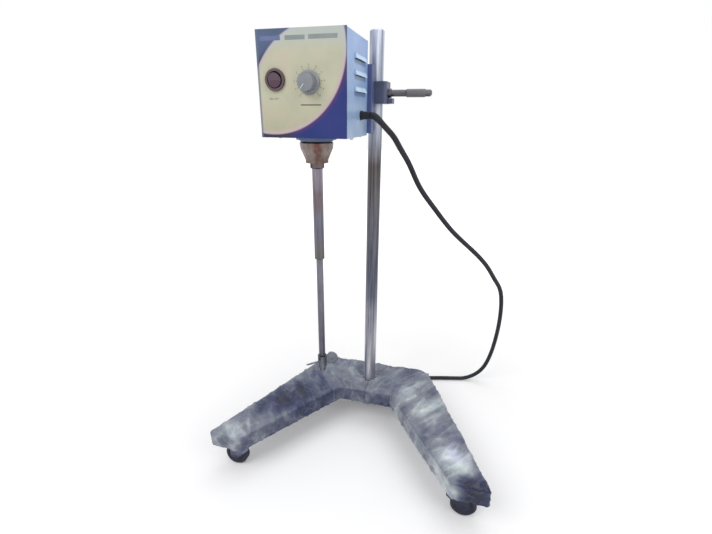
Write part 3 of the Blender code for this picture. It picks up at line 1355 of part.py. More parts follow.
def make_speed_control(materials, head, knob_holder):
    """The potentiometer in the panel, its nut, its shaft and the knob."""
    front = at(KNOB_X, BOX_FRONT, KNOB_Z, FRONTWARD)
    origin = (KNOB_X, BOX_FRONT, KNOB_Z)
    body_front = -PANEL_THICKNESS - CLEARANCE
    body_back = body_front - POT_DEPTH
    shaft_bore = POT_SHAFT_RADIUS + CLEARANCE
    shaft_end = body_front - POT_SHAFT_DEPTH
    profile = (
        (0, shaft_end),
        (shaft_bore, shaft_end),
        (shaft_bore, POT_BUSH_REACH),
        (POT_BUSH_RADIUS, POT_BUSH_REACH),
        (POT_BUSH_RADIUS, body_front),
        (POT_RADIUS, body_front),
        (POT_RADIUS, body_back),
        (0, body_back),
    )
    bm = bmesh.new()
    spin_profile(bm, profile, front, SMALL_STEPS)
    add_solid("potentiometer_body", bm, materials["aluminium"], origin, head)

    bm = bmesh.new()
    nut_top = CLEARANCE + POT_NUT_HEIGHT
    extrude_outline(bm, hexagon(POT_NUT_FLAT_RADIUS), CLEARANCE, nut_top, front)
    nut = add_solid("potentiometer_nut", bm, materials["zinc_steel"], origin, head)
    hole = bmesh.new()
    add_rod(hole, POT_BUSH_RADIUS + CLEARANCE, -OVERRUN, nut_top + OVERRUN, front)
    combine(nut, hole, "DIFFERENCE", "bore")

    bm = bmesh.new()
    add_rod(bm, POT_SHAFT_RADIUS, shaft_end + CLEARANCE, POT_SHAFT_REACH, front)
    add_solid("potentiometer_shaft", bm, materials["aluminium"], origin, knob_holder)

    skirt_top = KNOB_STANDOFF + KNOB_SKIRT_HEIGHT
    knob_top = KNOB_STANDOFF + KNOB_HEIGHT
    bm = bmesh.new()
    skirt = (
        (0, skirt_top),
        (KNOB_GRIP_RADIUS, skirt_top),
        (KNOB_SKIRT_RADIUS, KNOB_STANDOFF + KNOB_SKIRT_HEIGHT / 2),
        (KNOB_SKIRT_RADIUS, KNOB_STANDOFF),
        (0, KNOB_STANDOFF),
    )
    spin_profile(bm, skirt, front)
    knob = add_solid("speed_knob", bm, materials["grey_plastic"], origin, knob_holder)
    grip = bmesh.new()
    extrude_outline(
        grip,
        ridged_outline(KNOB_GRIP_RADIUS),
        KNOB_STANDOFF + KNOB_SKIRT_HEIGHT / 4,
        knob_top,
        front,
        KNOB_GRIP_TIP_RADIUS / KNOB_GRIP_RADIUS,
    )
    combine(knob, grip, "UNION", "grip")
    recess = bmesh.new()
    recess_top = KNOB_STANDOFF + KNOB_RECESS_DEPTH
    add_rod(recess, KNOB_RECESS_RADIUS, KNOB_STANDOFF - OVERRUN, recess_top, front)
    combine(knob, recess, "DIFFERENCE", "nut_recess")
    bore = bmesh.new()
    add_rod(bore, shaft_bore, KNOB_STANDOFF, POT_SHAFT_REACH + CLEARANCE, front)
    combine(knob, bore, "DIFFERENCE", "shaft_bore")


def make_electronics(materials, head):
    """The speed board with its heat sink, and the terminal block on the floor plate."""
    wall = BOX_LEFT + SHELL_WALL + CLEARANCE
    board_x = wall + BOARD_STANDOFF
    board_back = BOARD_FRONT_Y + BOARD_LENGTH
    board_bottom = BOX_BOTTOM + BOARD_LEVEL
    board_top = board_bottom + BOARD_HEIGHT
    bm = bmesh.new()
    origin = (board_x, BOARD_FRONT_Y, board_bottom)
    add_box(bm, origin, (board_x + BOARD_THICKNESS, board_back, board_top))
    board = add_solid("speed_board", bm, materials["board_green"], origin, head)
    posts = bmesh.new()
    for y in (BOARD_FRONT_Y + BOARD_STANDOFF_MARGIN, board_back - BOARD_STANDOFF_MARGIN):
        for z in (board_bottom + BOARD_STANDOFF_MARGIN, board_top - BOARD_STANDOFF_MARGIN):
            reach = BOARD_STANDOFF + BOARD_THICKNESS / 2
            add_rod(posts, BOARD_STANDOFF_RADIUS, 0, reach, at(wall, y, z, RIGHTWARD), SMALL_STEPS // 2)
    combine(board, posts, "UNION", "standoffs")

    sink_x = board_x + BOARD_THICKNESS + CLEARANCE
    middle_y = (BOARD_FRONT_Y + board_back) / 2
    middle_z = (board_bottom + board_top) / 2
    outline = [(sink_x, middle_y - SINK_WIDTH / 2)]
    step = (SINK_WIDTH - SINK_FIN_THICKNESS) / (SINK_FINS - 1)
    for index in range(SINK_FINS):
        near = middle_y - SINK_WIDTH / 2 + index * step
        far = near + SINK_FIN_THICKNESS
        tip = sink_x + SINK_BASE + SINK_FIN_LENGTH
        root = sink_x + SINK_BASE
        fin = [(root, near), (tip, near), (tip, far), (root, far)]
        outline.extend(fin[1:] if index == 0 else fin)
    outline[-1] = (root, middle_y + SINK_WIDTH / 2)
    outline.append((sink_x, middle_y + SINK_WIDTH / 2))
    bm = bmesh.new()
    extrude_outline(bm, outline, middle_z - SINK_HEIGHT / 2, middle_z + SINK_HEIGHT / 2)
    add_solid("heat_sink", bm, materials["aluminium"], (sink_x, middle_y, middle_z), head)

    right = BOX_RIGHT - SHELL_WALL - TERMINAL_MARGIN
    back = SHELL_BACK - SHELL_WALL - TERMINAL_MARGIN
    bottom = FLOOR_PLATE_TOP + CLEARANCE
    top = bottom + TERMINAL_HEIGHT
    bm = bmesh.new()
    add_box(bm, (right - TERMINAL_WIDTH, back - TERMINAL_DEPTH, bottom), (right, back, top))
    block = add_solid("terminal_block", bm, materials["grey_plastic"], (right, back, bottom), head)
    screws = bmesh.new()
    for index in range(TERMINAL_WAYS):
        y = back - TERMINAL_DEPTH * (index + 1 / 2) / TERMINAL_WAYS
        place = at(right - TERMINAL_WIDTH / 2, y, 0)
        well = top - TERMINAL_HEIGHT / 3
        add_rod(screws, TERMINAL_SCREW_RADIUS, well, top + OVERRUN, place, SMALL_STEPS // 2)
    combine(block, screws, "DIFFERENCE", "screw_wells")


def make_gland(materials, head):
    """The cord gland in the right side, with its tapered relief, and its nut inside."""
    wall = at(BOX_RIGHT, GLAND_Y, GLAND_Z, RIGHTWARD)
    collar_end = CLEARANCE + GLAND_COLLAR_LENGTH
    profile = (
        (0, GLAND_REACH),
        (GLAND_MOUTH_RADIUS, GLAND_REACH),
        (GLAND_TAPER_RADIUS, collar_end),
        (GLAND_COLLAR_RADIUS, collar_end - CLEARANCE),
        (GLAND_COLLAR_RADIUS, CLEARANCE),
        (GLAND_THREAD_RADIUS, CLEARANCE),
        (GLAND_THREAD_RADIUS, -GLAND_THREAD_LENGTH),
        (0, -GLAND_THREAD_LENGTH),
    )
    bm = bmesh.new()
    spin_profile(bm, profile, wall)
    add_solid("cord_gland", bm, materials["black_plastic"], (BOX_RIGHT, GLAND_Y, GLAND_Z), head)
    nut_outer = -SHELL_WALL - CLEARANCE
    nut_inner = nut_outer - GLAND_NUT_THICKNESS
    bm = bmesh.new()
    extrude_outline(bm, hexagon(GLAND_NUT_FLAT_RADIUS), nut_inner, nut_outer, wall)
    nut = add_solid("gland_nut", bm, materials["black_plastic"], (BOX_RIGHT, GLAND_Y, GLAND_Z), head)
    hole = bmesh.new()
    add_rod(hole, GLAND_THREAD_RADIUS + CLEARANCE, nut_inner - OVERRUN, nut_outer + OVERRUN, wall)
    combine(nut, hole, "DIFFERENCE", "bore")


def make_clamp(materials, head, handle_holder):
    """The channel bracket on the back plate, the block round the rod and its locking handle."""
    web_front = BOX_BACK + CLEARANCE
    open_back = web_front + BRACKET_DEPTH
    left = BRACKET_LEFT
    right = BRACKET_RIGHT
    channel = [
        (left, web_front),
        (right, web_front),
        (right, open_back),
        (right - BRACKET_WALL, open_back),
        (right - BRACKET_WALL, web_front + BRACKET_WALL),
        (left + BRACKET_WALL, web_front + BRACKET_WALL),
        (left + BRACKET_WALL, open_back),
        (left, open_back),
    ]
    bm = bmesh.new()
    extrude_outline(bm, rounded(channel, BRACKET_EDGE_RADIUS, 2), BRACKET_BOTTOM, BRACKET_TOP)
    add_solid("rear_bracket", bm, materials["navy_paint"], (right, web_front, BRACKET_BOTTOM), head)

    rod = at(ROD_X, ROD_Y, 0)
    handle = at(ROD_X, ROD_Y, HANDLE_Z, RIGHTWARD)
    origin = (ROD_X, ROD_Y, BLOCK_BOTTOM)
    bm = bmesh.new()
    outline = rounded(rectangle(left, BLOCK_RIGHT, BLOCK_FRONT, BLOCK_BACK), BLOCK_CORNER_RADIUS)
    extrude_outline(bm, outline, BLOCK_BOTTOM, BLOCK_TOP)
    block = add_solid("clamp_block", bm, materials["navy_paint"], origin, head)
    lug = bmesh.new()
    add_box(
        lug,
        (BLOCK_RIGHT - LUG_REACH, ROD_Y - LUG_HALF_WIDTH, BLOCK_BOTTOM + CLEARANCE),
        (BLOCK_RIGHT + LUG_REACH, ROD_Y + LUG_HALF_WIDTH, BLOCK_BOTTOM + CLEARANCE + LUG_HEIGHT),
    )
    combine(block, lug, "UNION", "lug")
    bore = bmesh.new()
    add_rod(bore, ROD_RADIUS + CLEARANCE, BLOCK_BOTTOM - OVERRUN, BLOCK_TOP + OVERRUN, rod, TURN_STEPS)
    combine(block, bore, "DIFFERENCE", "rod_bore")
    thread = bmesh.new()
    add_rod(thread, HANDLE_THREAD_RADIUS + CLEARANCE, ROD_RADIUS, BLOCK_RIGHT + OVERRUN, handle)
    combine(block, thread, "DIFFERENCE", "handle_thread")

    hub_start = BLOCK_RIGHT + CLEARANCE
    hub_end = hub_start + HANDLE_HUB_LENGTH
    grip_start = hub_start + HANDLE_GRIP_START
    grip_end = hub_start + HANDLE_GRIP_END
    end = hub_start + HANDLE_REACH
    profile = (
        (0, end),
        (HANDLE_BAR_RADIUS - HANDLE_ROUND, end),
        (HANDLE_BAR_RADIUS, end - HANDLE_ROUND),
        (HANDLE_BAR_RADIUS, grip_end + HANDLE_ROUND),
        (HANDLE_GRIP_RADIUS, grip_end),
        (HANDLE_GRIP_RADIUS, grip_start),
        (HANDLE_BAR_RADIUS, grip_start - HANDLE_ROUND),
        (HANDLE_BAR_RADIUS, hub_end),
        (HANDLE_HUB_RADIUS, hub_end),
        (HANDLE_HUB_RADIUS, hub_start),
        (HANDLE_THREAD_RADIUS, hub_start),
        (HANDLE_THREAD_RADIUS, ROD_RADIUS + HANDLE_TIP_GAP),
        (0, ROD_RADIUS + HANDLE_TIP_GAP),
    )
    bm = bmesh.new()
    spin_profile(bm, profile, handle, SMALL_STEPS)
    place = (hub_start, ROD_Y, HANDLE_Z)
    add_solid("clamp_handle", bm, materials["zinc_steel"], place, handle_holder)


def smooth_route(points, start_heading, end_heading, step):
    """Evenly spaced points on a smooth curve through the route's own points, with square ends."""
    knots = np.array(points, dtype=float)
    spans = np.linalg.norm(np.diff(knots, axis=0), axis=1)
    count = len(knots)
    matrix = np.zeros((count, count))
    right = np.zeros((count, 3))
    matrix[0, 0] = 1
    matrix[-1, -1] = 1
    right[0] = start_heading
    right[-1] = end_heading
    for row in range(1, count - 1):
        before = spans[row - 1]
        after = spans[row]
        matrix[row, row - 1] = after
        matrix[row, row] = 2 * (before + after)
        matrix[row, row + 1] = before
        rise_before = (knots[row] - knots[row - 1]) / before
        rise_after = (knots[row + 1] - knots[row]) / after
        right[row] = 3 * (after * rise_before + before * rise_after)
    slopes = np.linalg.solve(matrix, right)
    fine = []
    for index, span in enumerate(spans):
        for share in np.linspace(0, 1, CORNER_STEPS * TURN_STEPS, endpoint=index == count - 2):
            square = share * share
            cube = square * share
            point = (
                (2 * cube - 3 * square + 1) * knots[index]
                + (cube - 2 * square + share) * span * slopes[index]
                + (3 * square - 2 * cube) * knots[index + 1]
                + (cube - square) * span * slopes[index + 1]
            )
            fine.append(point)
    fine = np.array(fine)
    along = np.concatenate(([0], np.cumsum(np.linalg.norm(np.diff(fine, axis=0), axis=1))))
    stops = np.linspace(0, along[-1], round(along[-1] / step) + 1)
    fine[:, 2] = np.maximum(fine[:, 2], CORD_FLOOR_Z)
    even = np.stack([np.interp(stops, along, fine[:, axis]) for axis in range(3)], axis=1)
    square_start = even[0] + CORD_RADIUS * np.array(start_heading)
    square_end = even[-1] - CORD_RADIUS * np.array(end_heading)
    return np.vstack([even[0], square_start, even[1:-1], square_end, even[-1]]), along[-1]


def add_cord(name, points, resolution, material, origin):
    """A round cord along a list of points, with filled ends."""
    curve = bpy.data.curves.new(name, "CURVE")
    curve.dimensions = "3D"
    curve.bevel_depth = CORD_RADIUS
    curve.bevel_resolution = resolution
    curve.use_fill_caps = True
    spline = curve.splines.new("POLY")
    spline.points.add(len(points) - 1)
    for target, point in zip(spline.points, points):
        target.co = (*point, 1.0)
    add_object(name, curve, material, origin, None)


def smooth_step(share):
    """A share from 0 to 1 that starts and ends level."""
    held = min(max(share, 0), 1)
    return held * held * (3 - 2 * held)


def coil_points():
    """Two layers of loops: in on top, a drop where the spiral turns back, and out along the floor."""
    count = round(2 * COIL_TURNS_IN * COIL_POINTS_PER_TURN)
    points = [(COIL_X + COIL_LEAD, COIL_SIDE_Y, COIL_TOP_Z)]
    for index in range(count + 1):
        turns = index / COIL_POINTS_PER_TURN
        radius = COIL_RADIUS - COIL_PITCH * min(turns, 2 * COIL_TURNS_IN - turns)
        drop = smooth_step((turns - COIL_TURNS_IN) * 2 + 1 / 2)
        angle = COIL_START_ANGLE + math.tau * turns
        points.append(
            (
                COIL_X + radius * math.cos(angle),
                COIL_Y + radius * math.sin(angle),
                COIL_TOP_Z - COIL_LAYER * drop,
            )
        )
    rise_end = COIL_TAIL - CORD_RADIUS
    for index in range(COIL_TAIL_POINTS + 1):
        share = index / COIL_TAIL_POINTS
        reach = COIL_TAIL_FLAT + (rise_end - COIL_TAIL_FLAT) * share
        height = CORD_FLOOR_Z + (PLUG_Z - CORD_FLOOR_Z) * smooth_step(share)
        points.append((COIL_X - reach, COIL_SIDE_Y, height))
    points.append((COIL_X - COIL_TAIL, COIL_SIDE_Y, PLUG_Z))
    return points


def report_coil_gap(points):
    """Print the least gap between loops of the coil, measured on its points."""
    places = np.array(points)
    apart = np.linalg.norm(places[:, None] - places[None, :], axis=2)
    steps = np.abs(np.arange(len(places))[:, None] - np.arange(len(places))[None, :])
    least = apart[steps > COIL_POINTS_PER_TURN / 4].min() - 2 * CORD_RADIUS
    length = np.linalg.norm(np.diff(places, axis=0), axis=1).sum()
    print(f"coil: least gap {least * 1000:.2f} mm, length {length:.3f} m")


def make_plug(materials):
    """A plain moulded two-pin plug lying at the coil's end."""
    entry = at(PLUG_X, COIL_SIDE_Y, PLUG_Z, LEFTWARD)
    body_start = PLUG_RELIEF_LENGTH
    body_end = body_start + PLUG_LENGTH
    bm = bmesh.new()
    section = rectangle(-PLUG_HALF_HEIGHT, PLUG_HALF_HEIGHT, -PLUG_HALF_WIDTH, PLUG_HALF_WIDTH)
    outline = rounded(section, PLUG_CORNER_RADIUS)
    extrude_outline(bm, outline, body_start, body_end, entry)
    place = (PLUG_X, COIL_SIDE_Y, PLUG_Z)
    plug = add_solid("mains_plug", bm, materials["cord_black"], place)
    relief = bmesh.new()
    profile = (
        (0, body_start + OVERRUN),
        (PLUG_RELIEF_ROOT_RADIUS, body_start + OVERRUN),
        (PLUG_RELIEF_ROOT_RADIUS, body_start),
        (PLUG_RELIEF_MOUTH_RADIUS, 0),
        (0, 0),
    )
    spin_profile(relief, profile, entry, SMALL_STEPS)
    combine(plug, relief, "UNION", "relief")
    pins = bmesh.new()
    for side in (-1, 1):
        across = Matrix.Translation((0, side * PLUG_PIN_SPACING / 2, 0))
        add_rod(pins, PLUG_PIN_RADIUS, body_end - OVERRUN, body_end + PLUG_PIN_LENGTH, entry @ across)
    combine(plug, pins, "UNION", "pins")


def make_mains_lead(materials):
    """The cord from the gland to the floor, the coil of the rest, and the plug."""
    start = (CORD_START, GLAND_Y, GLAND_Z)
    fall = GLAND_Z - CORD_FLOOR_Z
    free = [(x, y, CORD_FLOOR_Z + fall * share) for x, y, share in CORD_ROUTE]
    ramp_foot = (COIL_X + CORD_RAMP_FOOT, COIL_SIDE_Y, CORD_FLOOR_Z)
    ramp_top = (COIL_X + CORD_RAMP_TOP, COIL_SIDE_Y, COIL_TOP_Z)
    straight_end = (CORD_END_X + CORD_RADIUS, COIL_SIDE_Y, COIL_TOP_Z)
    end = (CORD_END_X, COIL_SIDE_Y, COIL_TOP_Z)
    route = (start, *free, ramp_foot, ramp_top, straight_end, end)
    points, length = smooth_route(route, (1, 0, 0), (-1, 0, 0), CORD_POINT_STEP)
    print(f"mains cord: {len(points)} points, length {length:.3f} m")
    add_cord("mains_cord", points, 2, materials["cord_black"], start)
    loops = coil_points()
    report_coil_gap(loops)
    add_cord("cord_coil", loops, 1, materials["cord_black"], (COIL_X, COIL_Y, CORD_FLOOR_Z))
    make_plug(materials)


def main():
    """Build the whole stirrer."""
    clear_scene()
    materials = make_materials()
    make_base_casting(materials["navy_paint"])
    make_base_film(materials["clear_film"])
    make_stand_rod(materials)
    for label, x, y, side in castor_places():
        make_castor(materials, label, x, y, side)

    head = make_empty("head_slide", (ROD_X, ROD_Y, BLOCK_BOTTOM))
    spinner = make_empty("spindle_spin", (SPINDLE_X, SPINDLE_Y, CHUCK_TOP))
    stirrer = make_empty("stirring_rod_slide", (SPINDLE_X, SPINDLE_Y, STIRRER_BOTTOM))
    knob_holder = make_empty("speed_knob_turn", (KNOB_X, BOX_FRONT, KNOB_Z))
    rocker_holder = make_empty("power_rocker_tilt", (SWITCH_X, BOX_FRONT, SWITCH_Z))
    handle_holder = make_empty("clamp_handle_turn", (BLOCK_RIGHT, ROD_Y, HANDLE_Z))
    make_housing_shell(materials["blue_paint"], head)
    make_box_plates(materials, head)
    make_motor(materials, head)
    make_flange(materials["navy_paint"], head)
    make_rotor(materials, spinner)
    make_chuck(materials["chuck_steel"], spinner)
    make_drive_tube(materials, spinner)
    make_stirrer(materials["stirrer_steel"], stirrer)
    make_switch(materials, head, rocker_holder)
    make_speed_control(materials, head, knob_holder)
    make_electronics(materials, head)
    make_gland(materials, head)
    make_clamp(materials, head, handle_holder)
    make_mains_lead(materials)


main()
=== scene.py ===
"""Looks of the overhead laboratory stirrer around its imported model, in metres, +Z up, front towards -Y."""
import math

import bmesh
import bpy
import numpy as np
from mathutils import Matrix, Vector, noise


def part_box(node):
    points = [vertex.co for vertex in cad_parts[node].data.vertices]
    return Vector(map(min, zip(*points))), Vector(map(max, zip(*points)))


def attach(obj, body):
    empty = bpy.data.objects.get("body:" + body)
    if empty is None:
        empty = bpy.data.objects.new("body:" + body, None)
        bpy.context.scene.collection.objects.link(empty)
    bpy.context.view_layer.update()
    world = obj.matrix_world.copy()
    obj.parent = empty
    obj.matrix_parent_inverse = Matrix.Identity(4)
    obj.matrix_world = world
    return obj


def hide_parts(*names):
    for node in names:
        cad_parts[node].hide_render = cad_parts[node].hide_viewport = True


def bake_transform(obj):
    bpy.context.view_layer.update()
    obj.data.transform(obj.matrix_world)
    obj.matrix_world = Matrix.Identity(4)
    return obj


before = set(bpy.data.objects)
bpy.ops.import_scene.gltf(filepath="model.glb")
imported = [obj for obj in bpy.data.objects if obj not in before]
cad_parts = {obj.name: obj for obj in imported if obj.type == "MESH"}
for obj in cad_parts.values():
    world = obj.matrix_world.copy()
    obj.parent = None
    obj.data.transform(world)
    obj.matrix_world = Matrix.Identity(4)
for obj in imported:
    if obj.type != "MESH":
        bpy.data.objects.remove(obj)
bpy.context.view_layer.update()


def corners(node):
    """A node's lowest and highest corners at rest, to a tenth of a millimetre."""
    return [tuple(round(value, 4) for value in corner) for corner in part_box(node)]


def middle(node):
    """The middle of a node's box."""
    return tuple((low + high) / 2 for low, high in zip(*corners(node)))


# Places of the stand and the head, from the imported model
(_, _, BASE_BOTTOM), (_, BASE_REAR, BASE_TOP) = corners("base_film_wrap")
ROD = Vector(middle("stand_rod")).xy
(BOX_LEFT, BOX_FRONT, BOX_BOTTOM), (BOX_RIGHT, _, BOX_TOP) = corners("front_panel")
BOX_BACK = corners("back_plate")[1][1]
BRACKET_LEFT = corners("rear_bracket")[0][0]
KNOB_X, _, KNOB_Z = middle("speed_knob")
KNOB_FACE = corners("speed_knob")[0][1]
SPINDLE_X, SPINDLE_Y, _ = middle("drive_tube")
FRONTWARD = Matrix.Rotation(math.pi / 2, 4, "X")

# Camera, fitted to the photograph
CAMERA_PLACE = (0.13165, -0.5359, 0.5209)
CAMERA_AZIMUTH = 0.2552
CAMERA_PITCH = 0.3591
CAMERA_ROLL = 0.0072
CAMERA_LENS = 20.496
CAMERA_SENSOR = 36
CAMERA_CLIP = 0.01


def add_camera():
    """The camera at the photograph's place."""
    data = bpy.data.cameras.new("camera")
    data.sensor_fit = "HORIZONTAL"
    data.sensor_width = CAMERA_SENSOR
    data.lens = CAMERA_LENS
    data.clip_start = CAMERA_CLIP
    camera = bpy.data.objects.new("camera", data)
    place = Matrix.Translation(CAMERA_PLACE)
    for angle, axis in ((CAMERA_AZIMUTH, "Z"), (math.pi / 2 - CAMERA_PITCH, "X"), (CAMERA_ROLL, "Z")):
        place @= Matrix.Rotation(angle, 4, axis)
    camera.matrix_world = place
    bpy.context.scene.collection.objects.link(camera)
    bpy.context.scene.camera = camera


def held(share):
    """A share kept from 0 to 1."""
    return min(1.0, max(0.0, share))


def smooth_step(share):
    """A share from 0 to 1 that starts and ends level."""
    share = held(share)
    return share * share * (3 - 2 * share)


def add_mesh(name, bm, body=None):
    """A new mesh piece, in the model's frame, that rides on a body where one is named."""
    mesh = bpy.data.meshes.new(name)
    bm.to_mesh(mesh)
    bm.free()
    made = bpy.data.objects.new(name, mesh)
    bpy.context.scene.collection.objects.link(made)
    if body is not None:
        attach(made, body)
    return made


def ring(bm, sides, place):
    """A loop of vertices, each where place puts its cosine and sine."""
    return [bm.verts.new(place(math.cos(a), math.sin(a))) for a in np.arange(sides) * math.tau / sides]


def bridge(bm, near, far):
    """The faces between two loops of vertices."""
    turned = [loop[1:] + loop[:1] for loop in (near, far)]
    return [bm.faces.new(verts) for verts in zip(near, *turned, far)]


def skin(bm, loops):
    """Smooth faces over a row of loops, and a flat one at each end."""
    for near, far in zip(loops, loops[1:]):
        for face in bridge(bm, near, far):
            face.smooth = True
    bm.faces.new(loops[0][::-1])
    bm.faces.new(loops[-1])


def final_mesh(piece):
    """What a piece looks like as a mesh, with its modifiers applied."""
    return bpy.data.meshes.new_from_object(piece.evaluated_get(bpy.context.evaluated_depsgraph_get()))


def tube(path, radii, sides):
    """A closed round tube along a path."""
    tangents = np.gradient(path, axis=0)
    tangents /= np.linalg.norm(tangents, axis=1)[:, None]
    normal = np.cross(tangents[0], (0, 0, 1.0))
    normal /= np.linalg.norm(normal)
    bm = bmesh.new()
    rings = []
    for place, tangent, radius in zip(path, tangents, np.broadcast_to(radii, len(path))):
        normal = normal - tangent * np.dot(normal, tangent)
        normal /= np.linalg.norm(normal)
        side = np.cross(tangent, normal)
        rings.append(ring(bm, sides, lambda cos, sin: place + radius * (cos * normal + sin * side)))
    skin(bm, rings)
    return bm


def rounded(points, radius, steps):
    """An outline with an arc at each corner."""
    outline = []
    for index, point in enumerate(points):
        corner = Vector(point)
        before = (Vector(points[index - 1]) - corner).normalized()
        after = (Vector(points[(index + 1) % len(points)]) - corner).normalized()
        half = before.angle(after) / 2
        centre = corner + (before + after).normalized() * radius / math.sin(half)
        first = corner + before * radius / math.tan(half) - centre
        last = corner + after * radius / math.tan(half) - centre
        sweep = first.angle_signed(last)
        for step in range(steps + 1):
            turned = first.copy()
            turned.rotate(Matrix.Rotation(-sweep * step / steps, 2))
            outline.append(tuple(centre + turned))
    return outline


def srgb(red, green, blue):
    """A colour written as 0 to 255 per channel, as linear values."""
    channels = [value / 255 for value in (red, green, blue)]
    linear = [c / 12.92 if c <= 0.04045 else ((c + 0.055) / 1.055) ** 2.4 for c in channels]
    return (*linear, 1.0)


class Finish:
    """A procedural material, built from the object's own coordinates."""

    def __init__(self, name, **settings):
        self.material = bpy.data.materials.new(name)
        self.material.use_nodes = True
        self.tree = self.material.node_tree
        self.shader = self.tree.nodes["Principled BSDF"]
        self.place = self.add("ShaderNodeTexCoord").outputs["Object"]
        for setting, value in settings.items():
            socket = setting.replace("_", " ").title().replace("Ior", "IOR")
            self.shader.inputs[socket].default_value = value

    def add(self, kind, inputs=(), **settings):
        """A node with its settings, and its inputs as (socket, value or output) pairs."""
        made = self.tree.nodes.new(kind)
        for name, value in settings.items():
            setattr(made, name, value)
        for socket, value in inputs:
            if isinstance(value, bpy.types.NodeSocket):
                self.tree.links.new(value, made.inputs[socket])
            else:
                made.inputs[socket].default_value = value
        return made

    def axes(self):
        """The x, y and z of the place."""
        return self.add("ShaderNodeSeparateXYZ", [(0, self.place)]).outputs[:3]

    def noise(self, scale, detail=3.0, roughness=0.55, stretch=(1, 1, 1), shift=(0, 0, 0), place=None):
        """A noise from 0 to 1, finer along an axis whose stretch is larger."""
        place = self.place if place is None else place
        moved = self.add("ShaderNodeMapping", [(0, place), (1, shift), (3, stretch)])
        inputs = [("Vector", moved.outputs[0]), ("Scale", scale), ("Detail", detail)]
        return self.add("ShaderNodeTexNoise", [*inputs, ("Roughness", roughness)]).outputs[0]

    def math(self, operation, *values):
        """One sum of numbers or outputs."""
        return self.add("ShaderNodeMath", list(enumerate(values)), operation=operation).outputs[0]

    def distance(self, value, centre):
        """How far a value is from a centre, on either side."""
        return self.math("ABSOLUTE", self.math("SUBTRACT", value, centre))

    def moved(self, value, layer, weight, centre=0.5):
        """A value moved by a layer's difference from its centre."""
        change = self.math("SUBTRACT", layer, centre)
        return self.math("ADD", value, self.math("MULTIPLY", change, weight))

    def span(self, value, low, high, out_low=0.0, out_high=1.0):
        """A value brought from one range to another, smoothly and clamped."""
        inputs = [("Value", value), (1, low), (2, high), (3, out_low), (4, out_high)]
        return self.add("ShaderNodeMapRange", inputs, interpolation_type="SMOOTHSTEP").outputs[0]

    def within(self, value, start, end):
        """1 between two fades along a value, 0 outside them."""
        return self.math("MULTIPLY", self.span(value, *start), self.span(value, *end))

    def ramp(self, value, stops):
        """A colour by value, from (position, colour) stops."""
        node = self.add("ShaderNodeValToRGB", [(0, value)])
        elements = node.color_ramp.elements
        while len(elements) < len(stops):
            elements.new(1.0)
        for element, (position, colour) in zip(elements, stops):
            element.position = position
            element.color = colour
        return node.outputs[0]

    def mix(self, share, first, second, blend="MIX"):
        """Two colours mixed by a share."""
        inputs = [(0, share), (6, first), (7, second)]
        return self.add("ShaderNodeMix", inputs, data_type="RGBA", blend_type=blend).outputs[2]

    def tint(self, colour, tone):
        """A colour multiplied by another."""
        return self.mix(1.0, colour, tone, "MULTIPLY")

    def colour(self):
        """What the shader's colour comes from so far."""
        return self.shader.inputs["Base Color"].links[0].from_socket

    def wear(self, socket, value):
        """Drive a socket of the shader."""
        self.tree.links.new(value, self.shader.inputs[socket])

    def bump(self, *layers):
        """Relief from (height, strength, depth in metres) layers."""
        normal = None
        for height, strength, depth in layers:
            inputs = [("Strength", strength), ("Distance", depth), ("Height", height)]
            if normal is not None:
                inputs.append(("Normal", normal))
            normal = self.add("ShaderNodeBump", inputs).outputs[0]
        self.wear("Normal", normal)


def painted(name, light, dark, roughness, grain=900.0, depth=0.00006, chips=None):
    """Sprayed paint with a slight cloud in its colour and an orange-peel skin."""
    finish = Finish(name, roughness=roughness)
    colour = finish.ramp(finish.noise(26, 4), [(0.3, dark), (0.7, light)])
    if chips is not None:
        copper_streak = finish.span(finish.noise(210, 6, 0.7), 0.66, 0.70)
        colour = finish.mix(copper_streak, colour, chips)
    finish.wear("Base Color", colour)
    finish.wear("Roughness", finish.span(finish.noise(60, 3), 0.2, 0.8, roughness - 0.06, roughness + 0.10))
    finish.bump((finish.noise(grain, 2), 0.35, depth))
    return finish


def metal(name, light, dark, roughness, stretch, scale=120.0, depth=0.00004):
    """Bare metal with fine drawn lines along one axis."""
    finish = Finish(name, metallic=1.0, roughness=roughness)
    lines = finish.noise(scale, 5, 0.65, stretch)
    cloud = finish.noise(38, 3)
    both = finish.math("ADD", finish.math("MULTIPLY", lines, 0.6), finish.math("MULTIPLY", cloud, 0.4))
    finish.wear("Base Color", finish.ramp(both, [(0.32, dark), (0.68, light)]))
    finish.wear("Roughness", finish.span(lines, 0.25, 0.75, roughness - 0.05, roughness + 0.10))
    finish.bump((lines, 0.25, depth))
    return finish


def plastic(name, light, dark, roughness, grain=1400.0, depth=0.00005, **settings):
    """Moulded plastic or rubber with a fine grain."""
    finish = Finish(name, roughness=roughness, **settings)
    finish.wear("Base Color", finish.ramp(finish.noise(45, 4), [(0.3, dark), (0.7, light)]))
    fine = finish.noise(grain, 2)
    finish.wear("Roughness", finish.span(fine, 0.2, 0.8, roughness - 0.05, roughness + 0.08))
    finish.bump((fine, 0.3, depth))
    return finish


def stained(name, tones, matt, low, high, streaks, wander=0.05, depth=0.00003):
    """Bright steel whose tone and roughness change with height, drawn in long streaks."""
    finish = Finish(name, metallic=1.0)
    lines = finish.noise(90, 5, 0.6, (3, 3, 0.10))
    height = finish.moved(finish.axes()[2], finish.noise(14, 3), wander)
    share = finish.span(height, low, high)
    streak = finish.ramp(lines, [(0.40, streaks), (0.60, srgb(255, 255, 255))])
    finish.wear("Base Color", finish.tint(finish.ramp(share, tones), streak))
    greys = [(position, (value, value, value, 1.0)) for position, value in matt]
    finish.wear("Roughness", finish.ramp(share, greys))
    finish.bump((lines, 0.15, depth))
    return finish


